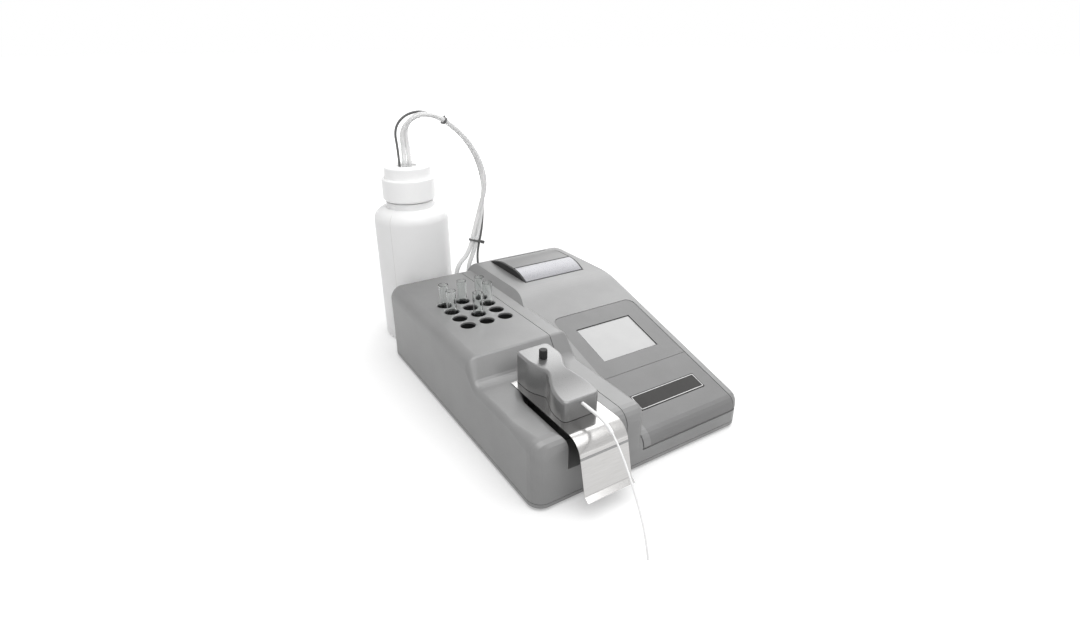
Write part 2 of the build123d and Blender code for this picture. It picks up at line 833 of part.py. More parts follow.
def make_filter_wheel():
    wheel = rod_z(wheel_x, cell_y, wheel_z, wheel_z + wheel_t, wheel_r)
    wheel += rod_z(wheel_x, cell_y, wheel_z, wheel_z + wheel_t + 2.0, 5.0)
    for x, y in filter_places():
        wheel -= rod_z(x, y, wheel_z + 0.8, wheel_z + wheel_t + 1, filter_r + 0.1)
        wheel -= rod_z(x, y, wheel_z - 1, wheel_z + 1, filter_r - 1)
    wheel += rod_z(wheel_x, cell_y, wheel_z - wheel_shaft_len, wheel_z, wheel_shaft_r)
    discs = [rod_z(x, y, wheel_z + 0.8, wheel_z + wheel_t, filter_r) for x, y in filter_places()]
    return join([wheel] + discs)


def make_wheel_motor():
    z0 = foot_h + tray_floor
    motor = rod_z(wheel_x, cell_y, z0, z0 + wheel_motor_h, wheel_motor_r)
    motor = fillet(motor.edges().group_by(Axis.Z)[-1], 1.0)
    return motor - rod_z(wheel_x, cell_y, wheel_z - wheel_shaft_len - 1, wheel_z, wheel_shaft_r + pin_gap)


# Sipper head: waisted in plan, stepped top
def head_outline(inset):
    back = head_back_half - inset
    waist = head_waist_half - inset
    front = head_front_half - inset
    y0 = head_y0 + inset
    y1 = head_y1 - inset
    back_y = head_y1 - 20.0
    front_y = head_y0 + 12.0
    right = Spline(
        (head_x + back, back_y), (head_x + waist, head_waist_y), (head_x + front, front_y),
        tangents=[(0, -1), (0, -1)],
    )
    left = Spline(
        (head_x - front, front_y), (head_x - waist, head_waist_y), (head_x - back, back_y),
        tangents=[(0, 1), (0, 1)],
    )
    edges = [
        Line((head_x - back, y1), (head_x + back, y1)),
        Line((head_x + back, y1), (head_x + back, back_y)),
        right,
        Line((head_x + front, front_y), (head_x + front, y0)),
        Line((head_x + front, y0), (head_x - front, y0)),
        Line((head_x - front, y0), (head_x - front, front_y)),
        left,
        Line((head_x - back, back_y), (head_x - back, y1)),
    ]
    face = make_face(edges)
    corners = [v for v in face.vertices() if abs(v.Y - y0) < 0.01 or abs(v.Y - y1) < 0.01]
    return fillet(corners, head_corner_r - inset / 2)


def head_solid(inset, z0):
    return Pos(0, 0, z0) * extrude(head_outline(inset), head_back_z + 5 - z0)


def head_side_view(inset):
    high = head_back_z - inset
    low = head_front_z - inset
    mid_y = (head_step_y0 + head_step_y1) / 2
    mid_z = (high + low) / 2
    reach = (head_step_y1 - head_step_y0) / 2
    rise = (high - low) / 2
    r = (reach ** 2 + rise ** 2) / (2 * rise)
    a = asin(reach / r) / 2
    upper_mid = (head_step_y1 - r * sin(a), high - r + r * cos(a))
    lower_mid = (head_step_y0 + r * sin(a), low + r - r * cos(a))
    edges = [
        Line((head_y1 + 5, 0), (head_y1 + 5, high)),
        Line((head_y1 + 5, high), (head_step_y1, high)),
        ThreePointArc((head_step_y1, high), upper_mid, (mid_y, mid_z)),
        ThreePointArc((mid_y, mid_z), lower_mid, (head_step_y0, low)),
        Line((head_step_y0, low), (head_step_y0 - 5, low)),
        Line((head_step_y0 - 5, low), (head_step_y0 - 5, 0)),
        Line((head_step_y0 - 5, 0), (head_y1 + 5, 0)),
    ]
    profile = Plane.YZ * make_face(edges)
    width = head_front_half + 5
    return Pos(head_x - width, 0, 0) * extrude(profile, 2 * width)


def make_head_cover():
    z0 = plate_z1 + 0.4
    solid = head_solid(0.0, z0) & head_side_view(0.0)
    rim = []
    for e in solid.edges():
        y = e.center().Y
        across = e.bounding_box().size.Y < 0.01 and head_y0 + 1 < y < head_step_y1 + 1
        if e.center().Z > head_front_z - 0.5 and not across:
            rim.append(e)
    solid = fillet(rim, head_rim_r)
    hollow = head_solid(head_wall, z0 - 1) & head_side_view(head_wall)
    cover = solid - hollow
    cell_z1 = cell_z0 + cell_h
    rib_y = cell_y + diode_r + 0.3
    rib = block(axis_x - 6, axis_x + 6, rib_y, cell_y + cell_side / 2, cell_z1, head_back_z)
    cover += rib & head_side_view(head_wall / 2)
    cover -= rod_z(knob_x, knob_y, head_front_z, head_back_z + 1, knob_shank_r + pin_gap)
    return cover - rod_y(axis_x, head_y0 - 1, head_y0 + head_wall + 1, sleeve_z, sleeve_r + 0.1)


def make_head_knob():
    z0 = head_back_z + fit_gap
    knob = rod_z(knob_x, knob_y, z0, z0 + knob_h, knob_r)
    knob = fillet(knob.edges().group_by(Axis.Z)[-1], 0.9)
    for i in range(12):
        a = radians(30 * i)
        x = knob_x + (knob_r + 0.25) * cos(a)
        y = knob_y + (knob_r + 0.25) * sin(a)
        knob -= rod_z(x, y, z0 + 1.5, z0 + knob_h + 1, 0.5)
    return knob + rod_z(knob_x, knob_y, head_back_z - knob_shank_len, z0 + 1, knob_shank_r)


def make_sleeve():
    y1 = cell_y - cell_side / 2
    sleeve = rod_y(axis_x, sleeve_y_end, y1, sleeve_z, sleeve_r)
    return sleeve - rod_y(axis_x, sleeve_y_end - 1, y1 + 1, sleeve_z, sip_r - 0.4)


# Printer
def arch_edges(drop, y_start, y_end):
    """Top line of the printer's arch in the YZ plane, lowered by drop, between two Y values."""
    base = housing_z
    r0 = ((arch_y1 - arch_y0) ** 2 + arch_h ** 2) / (2 * arch_h)
    r1 = ((arch_y3 - arch_y2) ** 2 + arch_h ** 2) / (2 * arch_h)
    top = base + arch_h

    def height(y):
        if y < arch_y1:
            return top - drop - (r0 - drop) + sqrt((r0 - drop) ** 2 - (arch_y1 - y) ** 2)
        if y > arch_y2:
            return top - drop - (r1 - drop) + sqrt((r1 - drop) ** 2 - (y - arch_y2) ** 2)
        return top - drop

    def arc(a, b):
        m = (a + b) / 2
        return ThreePointArc((a, height(a)), (m, height(m)), (b, height(b)))

    edges = []
    if y_start < arch_y1:
        edges.append(arc(y_start, min(y_end, arch_y1)))
    flat0 = max(y_start, arch_y1)
    flat1 = min(y_end, arch_y2)
    if flat1 > flat0:
        edges.append(Line((flat0, top - drop), (flat1, top - drop)))
    if y_end > arch_y2:
        edges.append(arc(max(y_start, arch_y2), y_end))
    return edges, height


def arch_solid(x0, x1, drop, y_start, y_end, z0):
    edges, height = arch_edges(drop, y_start, y_end)
    outline = edges + [
        Line((y_end, height(y_end)), (y_end, z0)),
        Line((y_end, z0), (y_start, z0)),
        Line((y_start, z0), (y_start, height(y_start))),
    ]
    profile = Plane.YZ * make_face(outline)
    return Pos(x0, 0, 0) * extrude(profile, x1 - x0)


def arch_skin(x0, x1, y_start, y_end):
    z0 = housing_z - 6.0
    outside = arch_solid(x0, x1, 0.0, y_start, y_end, z0)
    return outside - arch_solid(x0 - 1, x1 + 1, skin_t, y_start - 1, y_end + 1, z0 - 1)


def make_printer_tub():
    body = block(tub_x0, tub_x1, tub_y0, tub_y1, printer_floor_z, housing_z - 0.3)
    inner_y0 = tub_y0 + cheek_t
    inner_y1 = tub_y1 - cheek_t + 0.3
    inner_x0 = tub_x0 + cheek_t
    inner_x1 = tub_x1 - cheek_t
    body -= block(inner_x0, inner_x1, inner_y0, inner_y1, printer_floor_z + 1.5, housing_z + 5)
    body -= block(inner_x0, inner_x1, inner_y1 - 1, tub_y1 + 1, door_pin_z - door_tail_room, housing_z + 5)
    for x in (tub_x0, tub_x1 - cheek_t):
        cheek = arch_solid(x, x + cheek_t, 0.4, arch_y0 + 0.5, arch_y3 - 1.0, housing_z - 10)
        body += cheek
    for y, z, r in ((door_pin_y, door_pin_z, door_pin_r), (platen_y, platen_z, platen_shaft_r),
                    (roll_y, roll_z, roll_core_r / 2)):
        body -= rod_x(tub_x0 - 1, tub_x1 + 1, y, z, r + pin_gap)
    return body


def make_printer_door():
    door = arch_skin(door_x0, door_x1, arch_y1 + slot_gap, door_tail_y)
    for x0, x1 in ((door_x0, door_x0 + 14), (door_x1 - 14, door_x1)):
        door += rod_x(x0, x1, door_pin_y, door_pin_z, door_barrel_r)
        web = block(x0, x1, door_pin_y - 1.6, door_pin_y + 1.6, door_pin_z, housing_z + 1.5)
        door += web & arch_solid(x0 - 1, x1 + 1, skin_t / 2, arch_y2, door_tail_y + 1, door_pin_z - 5)
    for x0, x1 in ((tub_x0, door_x0 + 1), (door_x1 - 1, tub_x1)):
        door += rod_x(x0, x1, door_pin_y, door_pin_z, door_pin_r)
    return door


def make_tear_cover():
    y1 = arch_y1 - 0.5
    cover = arch_skin(door_x0 - 0.1, door_x1 + 0.1, tub_y0 + cheek_t + 0.3, y1)
    cover -= block(door_x0 - 1, door_x1 + 1, tub_y0, y1 + 1, 0, housing_z - 0.9)
    foot = block(door_x0 + 2, door_x1 - 2, tub_y0 + cheek_t + 0.3, tub_y0 + cheek_t + 1.8,
                 print_head_z0 + print_head_h, housing_z - 0.5)
    return cover + foot


def make_platen():
    body = rod_x(door_x0 + 4, door_x1 - 4, platen_y, platen_z, platen_r)
    return body + rod_x(tub_x0, tub_x1, platen_y, platen_z, platen_shaft_r)


def roll_ends():
    mid = (tub_x0 + tub_x1) / 2
    return mid - roll_w / 2, mid + roll_w / 2


def make_paper_roll():
    x0, x1 = roll_ends()
    roll = rod_x(x0, x1, roll_y, roll_z, roll_r)
    roll += rod_x(x0 - 1, x1 + 1, roll_y, roll_z, roll_core_r)
    return roll + rod_x(tub_x0, tub_x1, roll_y, roll_z, roll_core_r / 2)


def make_print_head():
    y0 = tub_y0 + cheek_t
    y1 = platen_y - platen_r - 0.4
    bar = block(door_x0 + 6, door_x1 - 6, y0, y1, print_head_z0, print_head_z0 + print_head_h)
    for i in range(8):
        x = door_x0 + 12 + i * (door_x1 - door_x0 - 24) / 7
        bar -= block(x - 0.8, x + 0.8, y0 + 4, y1 - 4, print_head_z0 - 1, print_head_z0 + 2)
    return bar


# Control panel and display
def panel_piece(y0, y1):
    layer = slope_layer(panel_sink, panel_sink + panel_t) & panel_zone(0.0)
    return layer & block(0, case_x, y0, y1, 0, housing_z)


def make_display_bezel():
    bezel = panel_piece(panel_split_y + panel_split_gap / 2, 10.0)
    return bezel - window_prism(0.0)


def make_front_panel():
    x0, x1, y0, y1 = plate_area
    panel = panel_piece(-case_y - 1, panel_split_y - panel_split_gap / 2)
    seat = block(x0 - fit_gap, x1 + fit_gap, y0 - fit_gap, y1 + fit_gap, 0, housing_z)
    return panel - (slope_layer(panel_sink - 1.0, panel_sink + name_plate_t) & seat)


def make_name_plate():
    x0, x1, y0, y1 = plate_area
    zone = block(x0, x1, y0, y1, 0, housing_z)
    zone = fillet(zone.edges().filter_by(Axis.Z), 2.0)
    return slope_layer(panel_sink - 0.3, panel_sink + name_plate_t) & zone


def tilt_box(x0, x1, y0, y1, depth0, depth1):
    """A flat box lying under the slope, depth0 to depth1 below its surface, between two Y values."""
    mid_y = (y0 + y1) / 2
    length = (y1 - y0) / cos(slope_angle)
    mid_depth = (depth0 + depth1) / 2
    box = Box(x1 - x0, length, depth1 - depth0)
    z = slope_z + slope_rise * mid_y - mid_depth * cos(slope_angle)
    y = mid_y + mid_depth * sin(slope_angle)
    return Pos((x0 + x1) / 2, y, z) * Rot(degrees(slope_angle), 0, 0) * box


def make_display_glass():
    return tilt_box(window_x0 - glass_lap, window_x1 + glass_lap, window_y0 - glass_lap,
                    window_y1 + glass_lap - 0.6, panel_sink + panel_t, wall)


def make_display_module():
    return tilt_box(window_x0 - display_lap, window_x1 + display_lap, window_y0 - display_lap,
                    window_y1 + display_lap, wall, wall + display_t)


# Boards and power supply
def board_corners():
    return [(x, y) for x in (board_x0 + 6, board_x1 - 6) for y in (board_y0 + 6, board_y1 - 6)]


def make_main_board():
    z = board_z + board_t
    x0, x1, y0, y1 = board_x0, board_x1, board_y0, board_y1
    parts = [
        block(board_x0, board_x1, board_y0, board_y1, board_z, board_z + board_t),
        block(x0 + 38, x0 + 68, y0 + 130, y0 + 160, z, z + 3),
        block(x0 + 13, x0 + 27, y0 + 130, y0 + 144, z, z + 2),
        block(x0 + 48, x0 + 62, y1 - 40, y1 - 26, z, z + 2.5),
        block(x0 + 10, x0 + 20, y1 - 50, y1 - 10, z, z + 9),
        block(x1 - 37, x1 - 27, y1 - 40, y1 - 8, z, z + 9),
        rod_z(x1 - 17, y1 - 65, z, z + 14, 6),
        rod_z(x1 - 17, y1 - 48, z, z + 14, 6),
        rod_z(x0 + 34, y0 + 20, z, z + 8, 4),
        block(x1 - 62, x1 - 20, y0 + 10, y0 + 20, z, z + 8),
    ]
    return join(parts)


def make_power_supply():
    x0, x1, y0, y1, z0, z1 = supply_box
    body = block(x0, x1, y0, y1, z0, z1)
    body = fillet(body.edges().filter_by(Axis.Z), 1.5)
    for i in range(7):
        y = y0 + 10 + i * 7.0
        body -= block(x0 + 10, x1 - 10, y, y + 2.4, z1 - 1.2, z1 + 1)
    return body


# Rear panel
def make_rear_panel():
    y1 = case_y - wall
    y0 = y1 - rear_t
    panel = block(rear_x0 - rear_lap, rear_x1 + rear_lap, y0, y1, rear_z0 - rear_lap, rear_z1 + rear_lap)
    for x, r in ((waste_x, elbow_r), (air_x, elbow_r), (lead_x, 5.0)):
        panel -= rod_y(x, y0 - 1, y1 + 1, port_z, r + 0.1)
    for row in range(-3, 4):
        for col in range(-3, 4):
            x = fan_x + (col + (row % 2) * 0.5) * 4.6
            z = fan_z + row * 4.0
            if sqrt((x - fan_x) ** 2 + (z - fan_z) ** 2) < fan_side / 2 - 3.0:
                panel -= rod_y(x, y0 - 1, y1 + 1, z, 1.6)
    for x, half in ((switch_x, 6.4), (inlet_x, 14.0)):
        panel -= block(x - half, x + half, y0 - 1, y1 + 1, inlet_z - 10.2, inlet_z + 10.2)
    return panel


def make_elbow(x):
    y1 = case_y - wall
    body = rod_y(x, y1 - 8, elbow_y, port_z, elbow_r)
    body += Pos(x, elbow_y, port_z) * Sphere(elbow_r)
    body += rod_z(x, elbow_y, port_z, elbow_top_z, hose_r)
    body += rod_z(x, elbow_y, elbow_top_z - 3, elbow_top_z, hose_r + 1.2)
    body += rod_y(x, y1, y1 + 2, port_z, elbow_r + 2.6)
    return body - rod_z(x, elbow_y, port_z, elbow_top_z + 1, hose_bore_r - 0.6)


def make_rear_fittings():
    y1 = case_y - wall
    socket = rod_y(lead_x, y1 - 7, y1 + 3.5, port_z, 5.0) + rod_y(lead_x, y1, y1 + 1.5, port_z, 7.0)
    return join([make_elbow(waste_x), make_elbow(air_x), socket])


def make_lead_plug():
    y0 = case_y - wall + 3.5
    body = rod_y(lead_x, y0, plug_y, port_z, 5.6) + Pos(lead_x, plug_y, port_z) * Sphere(5.6)
    body += rod_z(lead_x, plug_y, port_z, port_z + 12, 4.2)
    cone_z0 = port_z + 12
    cone = Pos(lead_x, plug_y, (cone_z0 + plug_top_z) / 2) * Cone(3.4, lead_r + 0.6, plug_top_z - cone_z0)
    return (body + cone) - block(lead_x - 20, lead_x + 20, case_y - 20, y0, 0, 200)


def make_fan_frame():
    y1 = case_y - wall - rear_t
    y0 = y1 - fan_t
    half = fan_side / 2
    frame = block(fan_x - half, fan_x + half, y0, y1, fan_z - half, fan_z + half)
    frame = fillet(frame.edges().filter_by(Axis.Y), 3.0)
    frame -= rod_y(fan_x, y0 + 1.5, y1 + 1, fan_z, half - 1.5)
    for i in range(4):
        arm_cut = fan_side / 2 - 3.0
        a = radians(45 + 90 * i)
        x = fan_x + (arm_cut - 3.2) * cos(a + pi / 4)
        z = fan_z + (arm_cut - 3.2) * sin(a + pi / 4)
        frame -= rod_y(x, y0 - 1, y0 + 2, z, 4.6)
    return frame + rod_y(fan_x, y0 + 1.0, y0 + 4.5, fan_z, 1.5)


def make_fan_rotor():
    y1 = case_y - wall - rear_t
    y0 = y1 - fan_t + 2.2
    y_end = y1 - 1.0
    hub = rod_y(fan_x, y0, y_end, fan_z, fan_hub_r)
    blade_len = fan_side / 2 - 3.0 - fan_hub_r
    rotor = hub
    for i in range(fan_blades):
        blade = Box(blade_len + 1, 1.2, y_end - y0 - 1.0)
        blade = Pos(fan_hub_r - 0.5 + (blade_len + 1) / 2, 0, 0) * Rot(32, 0, 0) * blade
        blade = blade & Cylinder(fan_side / 2 - 3.0, y_end - y0 - 1.2)
        blade = Rot(0, 0, 360 * i / fan_blades) * blade
        rotor += Pos(fan_x, (y0 + y_end) / 2, fan_z) * Rot(90, 0, 0) * blade
    return rotor - rod_y(fan_x, y0 - 1, y0 + 3.0, fan_z, 1.5 + pin_gap)


def make_power_inlet():
    """Mains inlet and the frame of the rocker switch beside it, one moulding."""
    y1 = case_y - wall
    body = block(switch_x - 6.2, switch_x + 6.2, y1 - 16, y1 + 1, inlet_z - 10, inlet_z + 10)
    body += block(inlet_x - 13.8, inlet_x + 13.8, y1 - 20, y1 + 1, inlet_z - 10, inlet_z + 10)
    flange = block(switch_x - 8.4, inlet_x + 16, y1, y1 + 1.8, inlet_z - 12.5, inlet_z + 12.5)
    body += fillet(flange.edges().filter_by(Axis.Y), 2.5)
    body -= block(inlet_x - 12, inlet_x + 12, y1 - 14, y1 + 3, inlet_z - 8, inlet_z + 8)
    for dx, dz in ((-7, -1.5), (0, 2.5), (7, -1.5)):
        x = inlet_x + dx
        z = inlet_z + dz
        body += block(x - 1, x + 1, y1 - 15, y1 - 6, z - 2, z + 2)
    body -= block(switch_x - 4.9, switch_x + 4.9, y1 - 8, y1 + 3, inlet_z - 8.9, inlet_z + 8.9)
    return body + rod_x(switch_x - 5.5, switch_x + 5.5, y1 - 2, inlet_z, 1.2)


def make_rocker():
    y1 = case_y - wall
    depth = 5.5
    edges = [
        Line((-3.5, -7.6), (depth - 0.6, -7.9)),
        Line((depth - 0.6, -7.9), (depth - 1.4, 0)),
        Line((depth - 1.4, 0), (depth - 0.6, 7.9)),
        Line((depth - 0.6, 7.9), (-3.5, 7.6)),
        Line((-3.5, 7.6), (-3.5, -7.6)),
    ]
    profile = Plane.YZ * make_face(edges)
    body = Pos(-4.6, 0, 0) * extrude(profile, 9.2)
    body -= Pos(0, 0, 0) * Rot(0, 90, 0) * Cylinder(1.2 + pin_gap, 12)
    return Pos(switch_x, y1 - 2, inlet_z) * Rot(-rocker_tilt, 0, 0) * body


# Pump
def make_pump_housing():
    body = block(pump_x0, pump_x1, pump_y - pump_half, pump_y + pump_half, foot_h + tray_floor, pump_z + 30)
    body = fillet(body.edges().filter_by(Axis.X), 3.0)
    body -= rod_x(pump_x0 - 1, pump_x1 - 3, pump_y, pump_z, track_r)
    for sy in (-1, 1):
        y = pump_y + sy * (track_r - squeezed / 2)
        body -= block(pump_x0 + 2, pump_x0 + 12, y - 2.2, y + 2.2, pump_z, pump_z + 31)
    return body - rod_x(pump_x1 - 4, pump_x1 + 1, pump_y, pump_z, 3.0 + pin_gap)


def make_pump_motor():
    body = rod_x(pump_x1, pump_x1 + pump_motor_len, pump_y, pump_z, pump_motor_r)
    body = fillet(body.edges().group_by(Axis.X)[-1], 1.5)
    x1 = pump_x1 + pump_motor_len
    foot_z1 = pump_z - pump_motor_r + 2.5
    foot = block(pump_x1 + 6, x1 - 6, pump_y - 12, pump_y + 12, foot_h + tray_floor, foot_z1)
    return body + foot


def roller_places():
    for i in range(roller_count):
        a = radians(60 + 360 * i / roller_count)
        yield pump_y + orbit_r * cos(a), pump_z + orbit_r * sin(a)


def make_pump_rotor():
    rotor = rod_x(pump_x0 + 1, pump_x1, pump_y, pump_z, 3.0)
    rotor += rod_x(pump_x0 + 12.2, pump_x0 + 14, pump_y, pump_z, track_r - squeezed - 1.4)
    rotor += rod_x(pump_x0 + 1, pump_x0 + 13, pump_y, pump_z, 6.0)
    for y, z in roller_places():
        rotor += rod_x(pump_x0 + 1, pump_x0 + 13, y, z, roller_pin_r)
    return rotor


def make_pump_roller(i):
    y, z = list(roller_places())[i]
    roller = rod_x(pump_x0 + 2, pump_x0 + 11.8, y, z, roller_r)
    return roller - rod_x(pump_x0, pump_x0 + 13, y, z, roller_pin_r + pin_gap)


def make_pump_tube():
    outer = track_r
    inner = outer - squeezed
    x0 = pump_x0 + 4.0
    x1 = pump_x0 + 10.0
    ring = rod_x(x0, x1, pump_y, pump_z, outer) - rod_x(x0 - 1, x1 + 1, pump_y, pump_z, inner)
    ring &= block(x0 - 1, x1 + 1, pump_y - outer - 1, pump_y + outer + 1, pump_z - outer - 1, pump_z)
    top = pump_z + 38
    for sy in (-1, 1):
        y = pump_y + sy * (outer - squeezed / 2)
        ring += block(x0, x1, y - squeezed / 2, y + squeezed / 2, pump_z, top)
    return ring


# Bottle and cap
def make_bottle():
    t = bottle_wall
    k = sin(pi / 4)
    fr = bottle_foot_r
    sr = bottle_r - neck_step_r

    def half(inset):
        r = bottle_r - inset
        f = fr - inset
        z0 = inset
        s_mid = (r - sr * (1 - k), 0, shoulder_z0 + (shoulder_z1 - shoulder_z0 - inset) * k)
        s_end = (neck_step_r - inset, 0, shoulder_z1 - inset)
        return [
            Line((0, 0, z0), (r - f, 0, z0)),
            ThreePointArc((r - f, 0, z0), (r - f + f * k, 0, z0 + f - f * k), (r, 0, z0 + f)),
            Line((r, 0, z0 + f), (r, 0, shoulder_z0)),
            ThreePointArc((r, 0, shoulder_z0), s_mid, s_end),
        ]

    outer = half(0.0) + [
        Line((neck_step_r, 0, shoulder_z1), (neck_step_r, 0, neck_low_z - 1.0)),
        Line((neck_step_r, 0, neck_low_z - 1.0), (neck_r, 0, neck_low_z - 1.0)),
        Line((neck_r, 0, neck_low_z - 1.0), (neck_r, 0, bottle_neck_z)),
        Line((neck_r, 0, bottle_neck_z), (0, 0, bottle_neck_z)),
        Line((0, 0, bottle_neck_z), (0, 0, 0)),
    ]
    top_in = neck_r - t - 0.4
    inner = half(t) + [
        Line((neck_step_r - t, 0, shoulder_z1 - t), (top_in, 0, neck_low_z - 3.0)),
        Line((top_in, 0, neck_low_z - 3.0), (top_in, 0, bottle_neck_z + 1)),
        Line((top_in, 0, bottle_neck_z + 1), (0, 0, bottle_neck_z + 1)),
        Line((0, 0, bottle_neck_z + 1), (0, 0, t)),
    ]
    body = revolve(make_face(outer), Axis.Z) - revolve(make_face(inner), Axis.Z)
    return Pos(bottle_x, bottle_y, 0) * body


def make_bottle_cap():
    body = rod_z(0, 0, cap_z0, cap_step_z, cap_low_r)
    body = chamfer(body.edges().group_by(Axis.Z)[0], 2.6)
    body = fillet(body.edges().group_by(Axis.Z)[-1], 1.6)
    top = rod_z(0, 0, cap_step_z - 1, cap_top_z, cap_top_r)
    body += fillet(top.edges().group_by(Axis.Z)[-1], 1.6)
    body -= rod_z(0, 0, cap_z0 - 1, cap_ceiling_z, cap_bore_r)
    body -= rod_z(0, 0, cap_ceiling_z - 1, cap_top_z + 1, cap_hole_r)
    return Pos(bottle_x, bottle_y, 0) * body


def make_cap_liner():
    z0 = bottle_neck_z + fit_gap
    ring = rod_z(bottle_x, bottle_y, z0, z0 + liner_t, neck_r)
    return ring - rod_z(bottle_x, bottle_y, z0 - 1, z0 + liner_t + 1, cap_hole_r - 0.1)


def make_cap_plug():
    liner_z = bottle_neck_z + fit_gap
    plug = rod_z(bottle_x, bottle_y, liner_z - plug_flange_t, liner_z, plug_flange_r)
    plug += rod_z(bottle_x, bottle_y, liner_z - 1, plug_z1, plug_r)
    for x, r in hose_places:
        plug -= rod_z(x, bottle_y, stub_z0, plug_z1 + 1, r + hose_gap)
    return plug


def make_hose_stubs():
    stubs = []
    for x, r in hose_places:
        stub = rod_z(x, bottle_y, stub_z0, plug_z1, r)
        if r > hose_bore_r:
            stub -= rod_z(x, bottle_y, stub_z0 - 1, plug_z1 - 1.0, hose_bore_r)
        stubs.append(stub)
    return join(stubs)


# Tubes and lead of the bottle. Each route starts on the cap plug and ends at the rear of the case.
waste_route = (
    (waste_hole_x, bottle_y, plug_z1), (waste_hole_x, bottle_y, 263.0),
    (-78.0, 233.4, 287.0), (-67.0, 229.4, 301.0),
    (-50.5, 226.6, 307.5), (-31.0, 222.7, 303.5), (-11.0, 217.7, 290.0), (8.0, 213.2, 269.5),
    (21.5, 207.7, 242.0), (26.0, 202.9, 212.0), (15.0, 201.4, 182.0), (3.5, 200.5, 150.0),
    (-7.0, 198.8, 118.0), (waste_x, elbow_y, 100.0), (waste_x, elbow_y, elbow_top_z),
)
air_route = (
    (air_hole_x, bottle_y, plug_z1), (air_hole_x, bottle_y, 263.0),
    (-71.8, 239.6, 287.5), (-63.0, 236.0, 301.5),
    (-49.5, 233.2, 307.5), (-31.0, 229.3, 303.5), (-11.0, 224.3, 290.0), (8.0, 219.8, 269.5),
    (21.5, 214.3, 242.0), (26.5, 209.5, 212.0), (20.0, 206.5, 182.0), (10.5, 200.5, 150.0),
    (0.0, 198.8, 118.0), (air_x, elbow_y, 98.0), (air_x, elbow_y, elbow_top_z),
)
lead_route = (
    (lead_hole_x, bottle_y, plug_z1), (lead_hole_x, bottle_y, 263.5),
    (-84.5, 242.5, 288.0), (-72.0, 242.0, 304.0),
    (-51.0, 238.5, 310.5), (-31.0, 234.6, 304.0), (-11.0, 229.6, 290.0), (8.0, 225.1, 269.5),
    (21.5, 219.6, 242.0), (26.5, 214.8, 212.0), (24.0, 211.0, 182.0), (15.8, 200.5, 150.0),
    (5.3, 198.3, 118.0), (lead_x, plug_y, 100.0), (lead_x, plug_y, plug_top_z),
)
sip_route = (
    (axis_x, sleeve_y_end, sleeve_z), (axis_x, -203.0, sleeve_z), (-74.8, -223.5, 81.5),
    (-78.6, -247.5, 61.0),
    (-81.8, -267.5, 36.0), (-83.3, -276.5, 18.5), (-84.0, -281.0, 4.2),
)


def cord(name, route, r):
    points = [Vector(*p) for p in route]
    radii = []
    for i in range(1, len(points) - 1):
        a = points[i] - points[i - 1]
        b = points[i + 1] - points[i]
        half_turn = radians(a.get_angle(b)) / 2
        radii.append(0.45 * min(a.length, b.length) / tan(half_turn))
    path = FilletPolyline(*points, radius=radii)
    start = Plane(origin=points[0], z_dir=points[1] - points[0])
    solid = sweep(start * Circle(r), path=path)
    print(name, "radii", [round(v, 1) for v in radii], "length", round(path.length, 1),
          "volume ratio", round(solid.volume / (pi * r * r * path.length), 4))
    return solid


def make_tie(p, q, row, shift):
    """A strap round the bundle, halfway from p to q, its long side along row."""
    a = Vector(*p)
    b = Vector(*q)
    along = (b - a).normalized()
    side = Vector(*row)
    side = (side - along * side.dot(along)).normalized()
    centre = (a + b) * 0.5 + side * shift
    place = Plane(origin=centre, x_dir=side, z_dir=along)
    outer = SlotOverall(tie_inner_len + 2 * tie_t, tie_inner_w + 2 * tie_t)
    strap = extrude(outer - SlotOverall(tie_inner_len, tie_inner_w), tie_band / 2, both=True)
    head = Pos(tie_inner_len / 2 + 1.2, tie_inner_w / 2, 0) * Box(4.4, 3.6, tie_band + 1.6)
    head -= extrude(SlotOverall(tie_inner_len, tie_inner_w), 5, both=True)
    tail = Pos(tie_inner_len / 2 + 1.4, tie_inner_w / 2 + 2.6, 0) * Box(1.2, 3.0, tie_band - 0.6)
    return place * (strap + head + tail)


# Origin: under the middle of everything except the hanging tubes and what is on them
front_reach = plate_y_bend - plate_bend_r * tan(radians(90 - plate_lean) / 2)
front_reach -= (plate_z0 + plate_t / 2 - plate_drop_z) * tan(radians(plate_lean))
front_reach -= plate_lip * cos(radians(plate_lip_angle))
front_reach -= plate_t / 2 * sin(radians(plate_lip_angle))
shift_y = -(front_reach + bottle_y + bottle_r) / 2


def place(shape, name):
    export_step(Pos(0, shift_y, 0) * shape, "parts/" + name + ".step")


